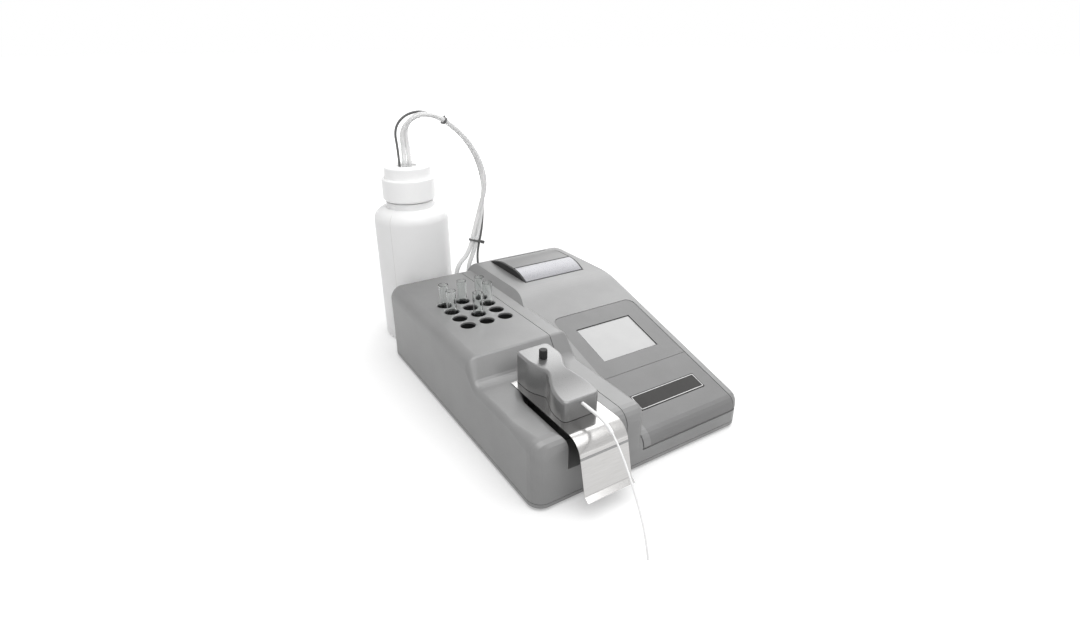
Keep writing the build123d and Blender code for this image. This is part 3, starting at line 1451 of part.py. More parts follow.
def main():
    os.makedirs("parts", exist_ok=True)
    makers = (
        ("base_tray", make_base_tray),
        ("left_cover", make_left_cover),
        ("right_cover", make_right_cover),
        ("rubber_feet", make_feet),
        ("cover_screws", make_cover_screws),
        ("incubator_block", make_incubator),
        ("sip_plate", make_sip_plate),
        ("sip_switch", make_sip_switch),
        ("switch_plunger", make_switch_plunger),
        ("optics_pedestal", make_pedestal),
        ("flow_cell", make_flow_cell),
        ("lamp_holder", make_lamp_holder),
        ("lamp_and_lens", make_lamp_and_lens),
        ("filter_wheel", make_filter_wheel),
        ("wheel_motor", make_wheel_motor),
        ("sip_head_cover", make_head_cover),
        ("head_knob", make_head_knob),
        ("sip_sleeve", make_sleeve),
        ("printer_tub", make_printer_tub),
        ("printer_door", make_printer_door),
        ("tear_cover", make_tear_cover),
        ("platen_roller", make_platen),
        ("paper_roll", make_paper_roll),
        ("print_head", make_print_head),
        ("display_bezel", make_display_bezel),
        ("front_panel", make_front_panel),
        ("blank_plate", make_name_plate),
        ("display_glass", make_display_glass),
        ("display_module", make_display_module),
        ("main_board", make_main_board),
        ("power_supply", make_power_supply),
        ("rear_panel", make_rear_panel),
        ("rear_fittings", make_rear_fittings),
        ("lead_plug", make_lead_plug),
        ("fan_frame", make_fan_frame),
        ("fan_rotor", make_fan_rotor),
        ("power_inlet", make_power_inlet),
        ("rocker", make_rocker),
        ("pump_housing", make_pump_housing),
        ("pump_motor", make_pump_motor),
        ("pump_rotor", make_pump_rotor),
        ("pump_tube", make_pump_tube),
        ("bottle", make_bottle),
        ("bottle_cap", make_bottle_cap),
        ("cap_liner", make_cap_liner),
        ("cap_plug", make_cap_plug),
        ("hose_stubs", make_hose_stubs),
    )
    for name, make in makers:
        place(make(), name)
    for col, row, x, y in wells():
        if (col, row) in tubes_at:
            place(make_glass_tube(x, y), "glass_tube_" + str(col) + str(row))
    for i in range(roller_count):
        place(make_pump_roller(i), "pump_roller_" + str(i + 1))
    place(cord("waste_tube", waste_route, hose_r), "waste_tube")
    place(cord("air_tube", air_route, hose_r), "air_tube")
    place(cord("bottle_lead", lead_route, lead_r), "bottle_lead")
    place(cord("sip_tube", sip_route, sip_r), "sip_tube")
    upper_tie = make_tie(air_route[5], air_route[6], (0, 1, 0), -1.35)
    lower_tie = make_tie(air_route[11], air_route[12], (1, 0, 0), -1.5)
    place(join([upper_tie, lower_tie]), "cable_ties")


main()
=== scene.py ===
from math import cos, pi, radians, sin, sqrt, tan

import bmesh
import bpy
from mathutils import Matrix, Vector


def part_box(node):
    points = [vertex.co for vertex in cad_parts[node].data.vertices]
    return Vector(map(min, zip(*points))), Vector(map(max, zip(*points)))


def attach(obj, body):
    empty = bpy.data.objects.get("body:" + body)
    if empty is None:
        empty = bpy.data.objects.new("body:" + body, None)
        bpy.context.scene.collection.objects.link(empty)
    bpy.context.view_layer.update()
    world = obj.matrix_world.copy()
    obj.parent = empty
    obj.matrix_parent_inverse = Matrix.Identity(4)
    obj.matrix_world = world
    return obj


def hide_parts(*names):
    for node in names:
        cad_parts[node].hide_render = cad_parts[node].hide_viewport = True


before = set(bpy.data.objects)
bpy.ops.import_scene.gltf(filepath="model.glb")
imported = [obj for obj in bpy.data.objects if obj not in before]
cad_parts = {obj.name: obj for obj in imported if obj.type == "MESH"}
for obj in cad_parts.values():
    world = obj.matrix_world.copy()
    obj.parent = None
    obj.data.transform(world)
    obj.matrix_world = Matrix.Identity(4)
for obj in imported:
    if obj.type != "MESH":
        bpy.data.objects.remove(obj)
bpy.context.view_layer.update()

# Sizes are in millimetres where they follow the part's source, and at() turns them into metres.
# The source has Y 0 in the middle of the case, so at() also moves Y by the case's place in the frame.
MM = 0.001
CASE_LOW, CASE_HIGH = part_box("left_cover")
CASE_Y = (CASE_LOW[1] + CASE_HIGH[1]) / 2

# Sloping top: its height at Y 0 and its rise for each millimetre of Y
SLOPE_Z = 90.5
SLOPE_RISE = 0.297

# Control panel, set into the slope; its window and the blank plate are given as x0, x1, y0, y1
PANEL_SINK = 0.4
PANEL_T = 1.1
WINDOW = (21.0, 101.0, -82.0, -26.0)
PLATE = (15.0, 107.0, -155.0, -134.5)
PLATE_INSET = 1.0

# Printer: the platen roller, the way of the paper round it, and the teeth behind the silver cover
PLATEN_Y = 117.0
PLATEN_Z = 103.5
PAPER_TURN_R = 6.2
PAPER_X = (24.0, 100.0)
PAPER_T = 0.12
TEETH_X = (19.0, 105.0)
TEETH_Y = (112.3, 113.5)
TEETH_Z = (115.5, 116.0)
TEETH_COUNT = 58

# Steel sip plate: the start of its bend, the height of its middle, and the lean of its hanging part
SIP_BEND_Y = -183.0
SIP_BEND_R = 18.0
SIP_MIDDLE_Z = 75.2
SIP_LEAN = radians(13.0)
CREASE_X = (-97.8, -70.8, -43.7)
CREASE_DOWN = 2.3                     # from the end of the bend to the crease
CREASE_HALF = 1.3                     # half the width of the crease
CREASE_FOOT = 0.38                    # from the middle of the sheet to the foot of the crease
CREASE_HEIGHT = 0.28
SLEEVE_R = 1.7

# Screws on the back, as places x, y, z
REAR_FACE_Y = 182.5
REAR_SCREWS = [(x, REAR_FACE_Y, z) for x, z in ((-42.0, 32.5), (106.0, 32.5), (-42.0, 80.5), (106.0, 80.5),
                                                (48.0, 80.5))]
FAN_X = 36.0
FAN_Z = 46.5
FAN_SCREW_REACH = 16.0
SCREW_FACETS = 24
SCREW_OUTLINE = ((1.0, 0.0), (1.0, 0.45), (0.93, 0.75), (0.75, 0.95), (0.58, 1.0))  # shares of r and height
SOCKET_SHARE = 0.45                   # of the head's radius
SOCKET_HEIGHTS = (1.0, 0.35)          # shares of the head's height

# Bottle
BOTTLE_X = -73.5
BOTTLE_Y = 238.0
BOTTLE_R = 50.0
FOOT_R = 6.0
SHOULDER_Z = 172.0
SHOULDER_WIDE = 18.0
SHOULDER_HIGH = 16.0
PARTING_TURNS = (35.0, 215.0)         # degrees round the bottle
PARTING_SECTION = ((-0.35, -0.05), (0.0, 0.18), (0.35, -0.05))  # sideways and outwards

# Light: how much of the white surroundings lights the object, and the white that the camera sees on the floor
WORLD_FILL = 0.55
FLOOR_GREY = 0.72
FLOOR_GLOW_NEAR = 0.30
FLOOR_FADE = (0.5, 1.5)               # metres from the origin


def at(x, y, z):
    return Vector((x * MM, CASE_Y + y * MM, z * MM))


# Camera
def make_camera():
    data = bpy.data.cameras.new("camera")
    data.sensor_width = 36.0
    data.lens = 19.985
    camera = bpy.data.objects.new("camera", data)
    camera.location = (-0.3553, -0.5784, 0.4007)
    camera.rotation_euler = (radians(64.89), 0.0, radians(-32.26))
    bpy.context.scene.collection.objects.link(camera)
    bpy.context.scene.camera = camera


# Small helpers for shader nodes
def add_node(tree, kind, **values):
    node = tree.nodes.new(kind)
    for key, value in values.items():
        setattr(node, key, value)
    return node


def new_group(name, inputs, outputs):
    tree = bpy.data.node_groups.new(name, "ShaderNodeTree")
    for label, kind, value in inputs:
        socket = tree.interface.new_socket(name=label, in_out="INPUT", socket_type=kind)
        socket.default_value = value
    for label, kind in outputs:
        tree.interface.new_socket(name=label, in_out="OUTPUT", socket_type=kind)
    start = tree.nodes.new("NodeGroupInput")
    end = tree.nodes.new("NodeGroupOutput")
    return tree, start, end


def surface_noise(tree, start, detail, stretch=None):
    """Noise over the surface, in the part's own coordinates, with the group's Scale."""
    where = add_node(tree, "ShaderNodeTexCoord")
    noise = add_node(tree, "ShaderNodeTexNoise")
    noise.inputs["Detail"].default_value = detail
    source = where.outputs["Object"]
    if stretch is not None:
        mapping = add_node(tree, "ShaderNodeMapping")
        mapping.inputs["Scale"].default_value = stretch
        tree.links.new(source, mapping.inputs["Vector"])
        source = mapping.outputs["Vector"]
    tree.links.new(source, noise.inputs["Vector"])
    tree.links.new(start.outputs["Scale"], noise.inputs["Scale"])
    return noise.outputs["Fac"]


def map_range(tree, value, low=0.0, high=1.0):
    """Spreads value, from low to high, over the range that the node's To sockets give."""
    node = add_node(tree, "ShaderNodeMapRange")
    node.inputs["From Min"].default_value = low
    node.inputs["From Max"].default_value = high
    tree.links.new(value, node.inputs["Value"])
    return node


def mix_colours(tree, share, colour_a, colour_b, target):
    mix = add_node(tree, "ShaderNodeMix", data_type="RGBA")
    tree.links.new(share, mix.inputs["Factor"])
    tree.links.new(colour_a, mix.inputs["A"])
    tree.links.new(colour_b, mix.inputs["B"])
    tree.links.new(mix.outputs["Result"], target)


def rough_between(tree, start, spread, target):
    """Roughness between the group's Rough Low and Rough High."""
    tree.links.new(start.outputs["Rough Low"], spread.inputs["To Min"])
    tree.links.new(start.outputs["Rough High"], spread.inputs["To Max"])
    tree.links.new(spread.outputs["Result"], target)


def make_two_tone():
    """Two close colours in soft clouds, as paint and moulded plastic have."""
    tree, start, end = new_group(
        "two_tone",
        [("Scale", "NodeSocketFloat", 30.0), ("Colour A", "NodeSocketColor", (0.5, 0.5, 0.5, 1)),
         ("Colour B", "NodeSocketColor", (0.4, 0.4, 0.4, 1))],
        [("Colour", "NodeSocketColor")],
    )
    spread = map_range(tree, surface_noise(tree, start, 4.0), 0.35, 0.65)
    mix_colours(tree, spread.outputs["Result"], start.outputs["Colour A"], start.outputs["Colour B"],
                end.inputs["Colour"])
    return tree


def make_grain():
    """Fine grain of a moulded or painted surface: a height for bump and a roughness."""
    tree, start, end = new_group(
        "grain",
        [("Scale", "NodeSocketFloat", 900.0), ("Rough Low", "NodeSocketFloat", 0.35),
         ("Rough High", "NodeSocketFloat", 0.5)],
        [("Height", "NodeSocketFloat"), ("Roughness", "NodeSocketFloat")],
    )
    noise = surface_noise(tree, start, 2.0)
    tree.links.new(noise, end.inputs["Height"])
    rough_between(tree, start, map_range(tree, noise, 0.3, 0.7), end.inputs["Roughness"])
    return tree


def make_brushing(name, stretch):
    """Long fine scratches of brushed or rolled metal, running along one direction."""
    tree, start, end = new_group(
        name,
        [("Scale", "NodeSocketFloat", 60.0), ("Light", "NodeSocketColor", (0.7, 0.7, 0.7, 1)),
         ("Dark", "NodeSocketColor", (0.6, 0.6, 0.6, 1)), ("Rough Low", "NodeSocketFloat", 0.18),
         ("Rough High", "NodeSocketFloat", 0.3)],
        [("Colour", "NodeSocketColor"), ("Height", "NodeSocketFloat"), ("Roughness", "NodeSocketFloat")],
    )
    noise = surface_noise(tree, start, 3.0, stretch)
    share = map_range(tree, noise, 0.3, 0.7).outputs["Result"]
    mix_colours(tree, share, start.outputs["Light"], start.outputs["Dark"], end.inputs["Colour"])
    tree.links.new(noise, end.inputs["Height"])
    rough_between(tree, start, map_range(tree, share), end.inputs["Roughness"])
    return tree


def new_finish(name, **shader_values):
    material = bpy.data.materials.new(name)
    material.use_nodes = True
    tree = material.node_tree
    shader = tree.nodes["Principled BSDF"]
    for label, value in shader_values.items():
        shader.inputs[label.replace("_", " ")].default_value = value
    return material, tree, shader


def group_node(tree, group, **values):
    node = add_node(tree, "ShaderNodeGroup", node_tree=group)
    for label, value in values.items():
        node.inputs[label.replace("_", " ")].default_value = value
    return node


def bump_from(tree, shader, height, strength, distance):
    bump = add_node(tree, "ShaderNodeBump")
    bump.inputs["Strength"].default_value = strength
    bump.inputs["Distance"].default_value = distance
    tree.links.new(height, bump.inputs["Height"])
    tree.links.new(bump.outputs["Normal"], shader.inputs["Normal"])


def grey(level, warm=0.0):
    return (level * (1 + warm), level, level * (1 - warm), 1.0)


two_tone = make_two_tone()
grain = make_grain()
brush_across = make_brushing("brush_across", (1.0, 30.0, 30.0))


def coated(name, colour_a, colour_b, rough, grain_scale, strength, cloud=25.0, **shader_values):
    """Painted or moulded finish: clouded colour, fine grain in the height and the roughness."""
    material, tree, shader = new_finish(name, **shader_values)
    colour = group_node(tree, two_tone, Scale=cloud, Colour_A=colour_a, Colour_B=colour_b)
    fine = group_node(tree, grain, Scale=grain_scale, Rough_Low=rough[0], Rough_High=rough[1])
    tree.links.new(colour.outputs["Colour"], shader.inputs["Base Color"])
    tree.links.new(fine.outputs["Roughness"], shader.inputs["Roughness"])
    bump_from(tree, shader, fine.outputs["Height"], strength, 0.0002)
    return material


def drawn_metal(name, light, dark, rough, scale, strength):
    """Bare metal with fine lines along X."""
    material, tree, shader = new_finish(name, Metallic=1.0)
    lines = group_node(tree, brush_across, Scale=scale, Light=light, Dark=dark,
                       Rough_Low=rough[0], Rough_High=rough[1])
    tree.links.new(lines.outputs["Colour"], shader.inputs["Base Color"])
    tree.links.new(lines.outputs["Roughness"], shader.inputs["Roughness"])
    bump_from(tree, shader, lines.outputs["Height"], strength, 0.0001)
    return material


def make_finishes():
    """The finish of each slot: two colours, lowest and highest roughness, grain scale and bump strength."""
    return {
        "case_grey": coated("case_paint", grey(0.245), grey(0.225), (0.32, 0.42), 1400.0, 0.12,
                            Metallic=0.22),
        "panel_grey": coated("panel_paint", grey(0.185), grey(0.17), (0.42, 0.55), 1600.0, 0.15,
                             Metallic=0.15),
        "black_plastic": coated("black_plastic", grey(0.028), grey(0.021), (0.4, 0.55), 1100.0, 0.2,
                                Specular_IOR_Level=0.28),
        "silver_plastic": coated("silver_paint", (0.29, 0.29, 0.305, 1), (0.275, 0.275, 0.29, 1),
                                 (0.26, 0.34), 1500.0, 0.04, Metallic=0.5),
        "dark_plate": coated("plate_enamel", grey(0.036, 0.03), grey(0.030, 0.03), (0.42, 0.52), 300.0, 0.05,
                             Specular_IOR_Level=0.2),
        "steel": drawn_metal("rolled_steel", grey(0.54, 0.01), grey(0.48, 0.015), (0.14, 0.24), 60.0, 0.05),
        "aluminium": coated("black_anodised", grey(0.05), grey(0.035), (0.35, 0.5), 900.0, 0.15,
                            Metallic=0.6),
        "rubber": coated("rubber", grey(0.04), grey(0.03), (0.65, 0.8), 500.0, 0.3),
        "glass": coated("tube_glass", (0.99, 1.0, 0.995, 1), (0.97, 0.99, 0.98, 1), (0.01, 0.03), 60.0, 0.02,
                        Transmission_Weight=1.0, IOR=1.35),
        "screen": coated("screen_film", grey(0.375), grey(0.36), (0.16, 0.20), 300.0, 0.02, cloud=45.0,
                         Coat_Weight=0.5),
        "white_poly": coated("white_poly", (0.83, 0.83, 0.82, 1), (0.79, 0.79, 0.78, 1), (0.35, 0.45),
                             260.0, 0.08, Subsurface_Weight=0.25, Subsurface_Radius=(0.02, 0.02, 0.02)),
        "paper": coated("paper", grey(0.83), grey(0.79, 0.01), (0.7, 0.85), 2200.0, 0.2),
        "clear_hose": coated("clear_hose", grey(0.88), grey(0.82), (0.08, 0.16), 120.0, 0.05,
                             Transmission_Weight=0.35, IOR=1.42),
        "grey_lead": coated("lead_jacket", grey(0.12), grey(0.10), (0.4, 0.5), 700.0, 0.15),
        "ivory_tube": coated("white_tube", grey(0.85), grey(0.80), (0.2, 0.3), 400.0, 0.05),
        "board_green": coated("board", (0.03, 0.16, 0.07, 1), (0.02, 0.12, 0.05, 1), (0.3, 0.45), 300.0, 0.1),
        "zinc": coated("plated_zinc", grey(0.5), grey(0.42), (0.28, 0.4), 500.0, 0.1, Metallic=0.95),
    }


finish_of = make_finishes()

# Nodes with a finish of their own
finish_of_node = {
    "sip_head_cover": coated("head_paint", grey(0.12), grey(0.11), (0.26, 0.36), 1400.0, 0.10, Metallic=0.2,
                             Coat_Weight=1.0, Coat_Roughness=0.28, Coat_IOR=1.8),
    "printer_door": coated("door_paint", grey(0.19), grey(0.175), (0.32, 0.42), 1400.0, 0.12, Metallic=0.35),
    "optics_pedestal": coated("pedestal_plastic", grey(0.075), grey(0.06), (0.4, 0.55), 1100.0, 0.2),
    "bottle": coated("milky_bottle", grey(0.99), grey(0.97), (0.32, 0.42), 260.0, 0.06,
                     Transmission_Weight=0.12, IOR=1.5, Subsurface_Weight=0.4,
                     Subsurface_Radius=(0.02, 0.02, 0.02)),
    "bottle_cap": coated("cap_white", grey(0.96), grey(0.93), (0.30, 0.40), 400.0, 0.06),
}
# Darker steel for the crease bead: painted shade along the crease
crease_shade_steel = drawn_metal("crease_shade_steel", grey(0.30), grey(0.26), (0.2, 0.3), 60.0, 0.05)
light_print = coated("light_print", grey(0.72), grey(0.66), (0.35, 0.45), 800.0, 0.05)


def dress_cad():
    for name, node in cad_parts.items():
        for holder in node.material_slots:
            slot = holder.material.name.split(".")[0]
            holder.material = finish_of_node.get(name, finish_of[slot])


# Cords: the routes of the part's source, in metres in the frame
WASTE_ROUTE = (
    (-0.0763, 0.2016, 0.2402), (-0.0763, 0.2016, 0.2630), (-0.0780, 0.1970, 0.2870),
    (-0.0670, 0.1930, 0.3010), (-0.0505, 0.1902, 0.3075), (-0.0310, 0.1863, 0.3035),
    (-0.0110, 0.1813, 0.2900), (0.0080, 0.1768, 0.2695), (0.0215, 0.1713, 0.2420),
    (0.0260, 0.1665, 0.2120), (0.0150, 0.1650, 0.1820), (0.0035, 0.1641, 0.1500),
    (-0.0070, 0.1624, 0.1180), (-0.0310, 0.1606, 0.1000), (-0.0310, 0.1606, 0.0765),
)
AIR_ROUTE = (
    (-0.0692, 0.2016, 0.2402), (-0.0692, 0.2016, 0.2630), (-0.0718, 0.2032, 0.2875),
    (-0.0630, 0.1996, 0.3015), (-0.0495, 0.1968, 0.3075), (-0.0310, 0.1929, 0.3035),
    (-0.0110, 0.1879, 0.2900), (0.0080, 0.1834, 0.2695), (0.0215, 0.1779, 0.2420),
    (0.0265, 0.1731, 0.2120), (0.0200, 0.1701, 0.1820), (0.0105, 0.1641, 0.1500),
    (0.0000, 0.1624, 0.1180), (-0.0115, 0.1606, 0.0980), (-0.0115, 0.1606, 0.0765),
)
LEAD_ROUTE = (
    (-0.0835, 0.2016, 0.2402), (-0.0835, 0.2016, 0.2635), (-0.0845, 0.2061, 0.2880),
    (-0.0720, 0.2056, 0.3040), (-0.0510, 0.2021, 0.3105), (-0.0310, 0.1982, 0.3040),
    (-0.0110, 0.1932, 0.2900), (0.0080, 0.1887, 0.2695), (0.0215, 0.1832, 0.2420),
    (0.0265, 0.1784, 0.2120), (0.0240, 0.1746, 0.1820), (0.0158, 0.1641, 0.1500),
    (0.0053, 0.1619, 0.1180), (0.0020, 0.1546, 0.1000), (0.0020, 0.1546, 0.0840),
)
SIP_ROUTE = (
    (-0.0720, -0.2264, 0.0910), (-0.0720, -0.2394, 0.0910), (-0.0748, -0.2599, 0.0815),
    (-0.0786, -0.2839, 0.0610), (-0.0818, -0.3039, 0.0360), (-0.0833, -0.3129, 0.0185),
    (-0.0840, -0.3174, 0.0042),
)


def make_round_run(name, route, radius, slot):
    """A round tube along a smooth curve that has the route's points as its control points."""
    data = bpy.data.curves.new(name, "CURVE")
    data.dimensions = "3D"
    spline = data.splines.new("NURBS")
    spline.points.add(len(route) - 1)
    for point, (x, y, z) in zip(spline.points, route):
        point.co = (x, y, z, 1.0)
    spline.order_u = 3
    spline.use_endpoint_u = True
    data.resolution_u = 14
    data.bevel_depth = radius
    data.bevel_resolution = 7
    data.use_fill_caps = True
    piece = bpy.data.objects.new(name, data)
    bpy.context.scene.collection.objects.link(piece)
    data.materials.append(finish_of[slot])
    return piece


def make_cord(name, node, route, radius, body, slot):
    piece = make_round_run(name, route, radius, slot)
    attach(piece, body)
    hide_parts(node)


def make_sleeve_tail():
    """The white sleeve goes on over the first bend of the sip tube."""
    bend = [Vector(point) for point in SIP_ROUTE[:3]]
    route = (bend[0], bend[1], (bend[1] + bend[2]) / 2)
    piece = make_round_run("sleeve_tail", route, SLEEVE_R * MM, "ivory_tube")
    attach(piece, "sip_head")


# Pieces made here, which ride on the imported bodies
def finish_piece(name, mesh_edit, slot, body, finish=None, smooth=True):
    data = bpy.data.meshes.new(name)
    bmesh.ops.recalc_face_normals(mesh_edit, faces=mesh_edit.faces)
    for face in mesh_edit.faces:
        face.smooth = smooth
    mesh_edit.to_mesh(data)
    mesh_edit.free()
    piece = bpy.data.objects.new(name, data)
    bpy.context.scene.collection.objects.link(piece)
    data.materials.append(finish or finish_of[slot])
    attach(piece, body)


def join_rings(mesh_edit, rings, close=False):
    """Faces between neighbouring rings of vertices, and back to the first ring if close is set."""
    count = len(rings[0])
    pairs = list(zip(rings, rings[1:]))
    if close:
        pairs.append((rings[-1], rings[0]))
    for low, high in pairs:
        for i in range(count):
            j = (i + 1) % count
            mesh_edit.faces.new((low[i], low[j], high[j], high[i]))


def join_rows(mesh_edit, rows):
    """Faces between neighbouring rows of vertices, which are open at both ends."""
    for low, high in zip(rows, rows[1:]):
        for i in range(len(low) - 1):
            mesh_edit.faces.new((low[i], low[i + 1], high[i + 1], high[i]))


def slope_point(x, y, depth):
    """A point under the sloping top, at this depth square to the slope."""
    return at(x, y, SLOPE_Z + SLOPE_RISE * y - depth * sqrt(1 + SLOPE_RISE ** 2))


def round_outline(x0, x1, y0, y1, r, steps=6):
    """Points round a rectangle with corners of radius r."""
    corners = ((x1 - r, y1 - r, 0), (x0 + r, y1 - r, 90), (x0 + r, y0 + r, 180), (x1 - r, y0 + r, 270))
    points = []
    for cx, cy, turn in corners:
        for i in range(steps + 1):
            a = radians(turn + 90 * i / steps)
            points.append((cx + r * cos(a), cy + r * sin(a)))
    return points


def slope_frame(name, area, width, r, depth_top, depth_low, slot, finish=None):
    """A frame that lies along the slope, equally wide all round."""
    x0, x1, y0, y1 = area
    outer = round_outline(x0, x1, y0, y1, r)
    inner = round_outline(x0 + width, x1 - width, y0 + width, y1 - width, max(r - width, 0.05))
    mesh_edit = bmesh.new()
    rings = []
    for outline, depth in ((outer, depth_low), (outer, depth_top), (inner, depth_top), (inner, depth_low)):
        rings.append([mesh_edit.verts.new(slope_point(x, y, depth)) for x, y in outline])
    join_rings(mesh_edit, rings, close=True)
    finish_piece(name, mesh_edit, slot, "case", finish, smooth=False)


def make_window_shade_lining():
    """Dark lining on the walls of the display window's recess, from the panel's face down to the glass:
    painted shade of the recess.
    """
    depth_top = PANEL_SINK + 0.08
    depth_low = PANEL_SINK + PANEL_T - 0.02
    slope_frame("window_shade_lining", WINDOW, 0.45, 0.1, depth_top, depth_low, "rubber")


def make_plate_border():
    """Light printed line round the blank plate, just under the slope's surface."""
    x0, x1, y0, y1 = PLATE
    area = (x0 + PLATE_INSET, x1 - PLATE_INSET, y0 + PLATE_INSET, y1 - PLATE_INSET)
    slope_frame("plate_border", area, 0.7, 1.4, 0.02, 0.12, "silver_plastic", light_print)


def strip_along(mesh_edit, x0, x1, line, thick, columns):
    """A sheet strip between x0 and x1 that follows line, a list of (y, z), thick millimetres through."""
    rings = []
    for i, (y, z) in enumerate(line):
        before = line[max(i - 1, 0)]
        after = line[min(i + 1, len(line) - 1)]
        along = Vector((after[0] - before[0], after[1] - before[1])).normalized()
        side = Vector((-along.y, along.x)) * thick / 2
        ring = [mesh_edit.verts.new(at(x0 + (x1 - x0) * k / columns, y + side.x, z + side.y))
                for k in range(columns + 1)]
        ring += [mesh_edit.verts.new(at(x1 - (x1 - x0) * k / columns, y - side.x, z - side.y))
                 for k in range(columns + 1)]
        rings.append(ring)
    join_rings(mesh_edit, rings)
    mesh_edit.faces.new(rings[0])
    mesh_edit.faces.new(rings[-1])


def arc_line(cy, cz, r, start, end, steps):
    return [(cy + r * cos(radians(start + (end - start) * i / steps)),
             cz + r * sin(radians(start + (end - start) * i / steps))) for i in range(steps + 1)]


def make_paper_web():
    """The paper on its way from the roll, under the platen roller and up to the slot."""
    line = [(123.4, 98.6), (121.0, 97.7)]
    line += arc_line(PLATEN_Y, PLATEN_Z, PAPER_TURN_R, -70, -180, 10)
    line += [(110.9, 106.0), (111.6, 109.0), (112.8, 112.0), (113.9, 114.6)]
    mesh_edit = bmesh.new()
    strip_along(mesh_edit, PAPER_X[0], PAPER_X[1], line, PAPER_T, 4)
    finish_piece("paper_web", mesh_edit, "paper", "case")


def make_tear_teeth():
    """Row of fine teeth along the paper slot, on the back edge of the silver cover."""
    mesh_edit = bmesh.new()
    x0, x1 = TEETH_X
    y0, y1 = TEETH_Y
    pitch = (x1 - x0) / TEETH_COUNT
    for i in range(TEETH_COUNT):
        x = x0 + pitch * i
        outline = ((x, y0), (x + pitch, y0), (x + pitch / 2, y1))
        low, high = ([mesh_edit.verts.new(at(px, py, z)) for px, py in outline] for z in TEETH_Z)
        mesh_edit.faces.new(low)
        mesh_edit.faces.new(high)
        join_rings(mesh_edit, (low, high))
    finish_piece("tear_teeth", mesh_edit, "silver_plastic", "case", smooth=False)


def plate_crease_line():
    """Y and Z of the crease just below the bend, on the flat hanging part of the steel plate."""
    reach = SIP_BEND_R * tan((pi / 2 - SIP_LEAN) / 2)
    y = SIP_BEND_Y - reach - (reach + CREASE_DOWN) * sin(SIP_LEAN)
    z = SIP_MIDDLE_Z - (reach + CREASE_DOWN) * cos(SIP_LEAN)
    return y, z


def make_plate_crease():
    """Low rounded bead across the outer face of the steel plate, in darker steel that paints the shade along
    the crease.
    """
    y, z = plate_crease_line()
    mesh_edit = bmesh.new()
    rows = []
    steps = 8
    for step in range(steps + 1):
        a = pi * step / steps
        along = CREASE_HALF * cos(a)
        out = CREASE_FOOT + CREASE_HEIGHT * sin(a)
        row_y = y - along * sin(SIP_LEAN) - out * cos(SIP_LEAN)
        row_z = z - along * cos(SIP_LEAN) + out * sin(SIP_LEAN)
        rows.append([mesh_edit.verts.new(at(x, row_y, row_z)) for x in CREASE_X])
    join_rows(mesh_edit, rows)
    finish_piece("plate_crease", mesh_edit, "steel", "sip_plate", crease_shade_steel)


def screw_ring(mesh_edit, place, lift, reaches):
    """Ring of vertices round a screw's axis, which runs along Y, with a reach for each angle."""
    x, y, z = place
    ring = []
    for i, reach in enumerate(reaches):
        a = 2 * pi * i / len(reaches)
        ring.append(mesh_edit.verts.new(at(x + reach * cos(a), y + lift, z + reach * sin(a))))
    return ring


def hexagon_reaches(inner_r):
    """From the middle of a hexagon to its edge, for each angle of a screw's ring."""
    angles = [2 * pi * i / SCREW_FACETS for i in range(SCREW_FACETS)]
    return [inner_r / cos((a + pi / 6) % (pi / 3) - pi / 6) for a in angles]


def make_pan_screws(name, places, head_r, head_h):
    """Pan head screws with a hexagon socket, pointing out of the back."""
    mesh_edit = bmesh.new()
    socket = hexagon_reaches(head_r * SOCKET_SHARE)
    for place in places:
        rings = [screw_ring(mesh_edit, place, head_h * height, [head_r * share] * SCREW_FACETS)
                 for share, height in SCREW_OUTLINE]
        rings += [screw_ring(mesh_edit, place, head_h * height, socket) for height in SOCKET_HEIGHTS]
        join_rings(mesh_edit, rings)
        mesh_edit.faces.new(rings[-1])
        mesh_edit.faces.new(rings[0])
    finish_piece(name, mesh_edit, "zinc", "case", smooth=False)


def make_rear_screws():
    make_pan_screws("rear_screws", REAR_SCREWS, 2.8, 1.8)
    sides = (-FAN_SCREW_REACH, FAN_SCREW_REACH)
    fan_places = [(FAN_X + dx, REAR_FACE_Y, FAN_Z + dz) for dx in sides for dz in sides]
    make_pan_screws("fan_screws", fan_places, 2.2, 1.4)


def bottle_outline():
    """Outside of the bottle as (radius, height), from the foot to the neck step."""
    foot = [radians(a) for a in range(15, 91, 15)]
    shoulder = [radians(a) for a in range(10, 91, 10)]
    line = [(BOTTLE_R - FOOT_R + FOOT_R * sin(a), FOOT_R - FOOT_R * cos(a)) for a in foot]
    line.append((BOTTLE_R, SHOULDER_Z))
    line += [(BOTTLE_R - SHOULDER_WIDE + SHOULDER_WIDE * cos(a), SHOULDER_Z + SHOULDER_HIGH * sin(a))
             for a in shoulder]
    return line


def make_bottle_parting():
    """Fine parting line of the blown bottle, up both sides and over the shoulder."""
    mesh_edit = bmesh.new()
    for turn in PARTING_TURNS:
        a = radians(turn)
        rows = []
        for r, z in bottle_outline():
            row = []
            for side, out in PARTING_SECTION:
                x = BOTTLE_X + (r + out) * cos(a) - side * sin(a)
                y = BOTTLE_Y + (r + out) * sin(a) + side * cos(a)
                row.append(mesh_edit.verts.new(at(x, y, z)))
            rows.append(row)
        join_rows(mesh_edit, rows)
    finish_piece("bottle_parting_line", mesh_edit, "white_poly", "case")


# Stage
def seen_rays(tree):
    """1 for rays from the camera, a mirror or glass, and 0 for the rays that light the object."""
    path = add_node(tree, "ShaderNodeLightPath")
    first = add_node(tree, "ShaderNodeMath", operation="MAXIMUM")
    both = add_node(tree, "ShaderNodeMath", operation="MAXIMUM")
    tree.links.new(path.outputs["Is Camera Ray"], first.inputs[0])
    tree.links.new(path.outputs["Is Glossy Ray"], first.inputs[1])
    tree.links.new(first.outputs["Value"], both.inputs[0])
    tree.links.new(path.outputs["Is Transmission Ray"], both.inputs[1])
    return both.outputs["Value"]


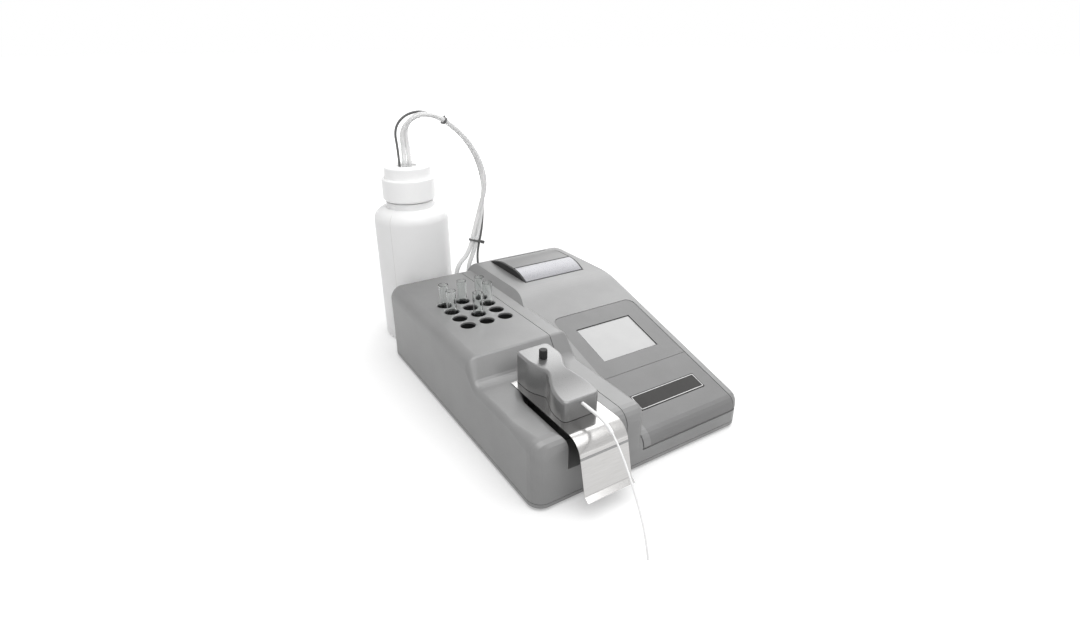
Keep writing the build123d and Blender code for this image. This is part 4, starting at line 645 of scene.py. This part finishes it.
def make_stage():
    """Pale floor that keeps the object's shadow and fades to white further out."""
    bpy.ops.mesh.primitive_plane_add(size=30.0, location=(0.0, 0.0, 0.0))
    floor = bpy.context.object
    floor.name = "floor"
    material, tree, shader = new_finish(
        "pale_floor", Base_Color=(FLOOR_GREY, FLOOR_GREY, FLOOR_GREY, 1), Roughness=1.0,
        Specular_IOR_Level=0.0, Emission_Color=(1, 1, 1, 1),
    )
    where = add_node(tree, "ShaderNodeTexCoord")
    far = add_node(tree, "ShaderNodeVectorMath", operation="LENGTH")
    tree.links.new(where.outputs["Object"], far.inputs[0])
    fade = map_range(tree, far.outputs["Value"], FLOOR_FADE[0], FLOOR_FADE[1])
    fade.inputs["To Min"].default_value = FLOOR_GLOW_NEAR
    lift = add_node(tree, "ShaderNodeMath", operation="MULTIPLY")
    tree.links.new(seen_rays(tree), lift.inputs[0])
    tree.links.new(fade.outputs["Result"], lift.inputs[1])
    tree.links.new(lift.outputs["Value"], shader.inputs["Emission Strength"])
    floor.data.materials.append(material)


def make_world():
    world = bpy.data.worlds.new("studio")
    bpy.context.scene.world = world
    world.use_nodes = True
    tree = world.node_tree
    back = tree.nodes["Background"]
    back.inputs["Color"].default_value = (1, 1, 1, 1)
    level = map_range(tree, seen_rays(tree))
    level.inputs["To Min"].default_value = WORLD_FILL
    tree.links.new(level.outputs["Result"], back.inputs["Strength"])


def soft_light(name, where, towards, size, power):
    data = bpy.data.lights.new(name, "AREA")
    data.shape = "RECTANGLE"
    data.size = size[0]
    data.size_y = size[1]
    data.energy = power
    lamp = bpy.data.objects.new(name, data)
    lamp.location = where
    lamp.rotation_euler = (Vector(towards) - Vector(where)).to_track_quat("-Z", "Y").to_euler()
    bpy.context.scene.collection.objects.link(lamp)


def make_lights():
    soft_light("top_light", (-0.05, -0.55, 1.5), (0.0, 0.0, 0.05), (1.6, 1.6), 19.5)
    soft_light("right_light", (1.15, 0.75, 1.15), (0.0, -0.1, 0.05), (1.5, 1.1), 12.0)


def main():
    make_camera()
    make_cord("waste_tube_run", "waste_tube", WASTE_ROUTE, 0.003, "case", "clear_hose")
    make_cord("air_tube_run", "air_tube", AIR_ROUTE, 0.003, "case", "clear_hose")
    make_cord("lead_run", "bottle_lead", LEAD_ROUTE, 0.0016, "case", "grey_lead")
    make_cord("sip_tube_run", "sip_tube", SIP_ROUTE, 0.00095, "sip_head", "ivory_tube")
    make_sleeve_tail()
    dress_cad()
    make_window_shade_lining()
    make_plate_border()
    make_paper_web()
    make_tear_teeth()
    make_plate_crease()
    make_rear_screws()
    make_bottle_parting()
    make_stage()
    make_world()
    make_lights()
    bpy.context.scene.view_settings.view_transform = "Standard"


main()
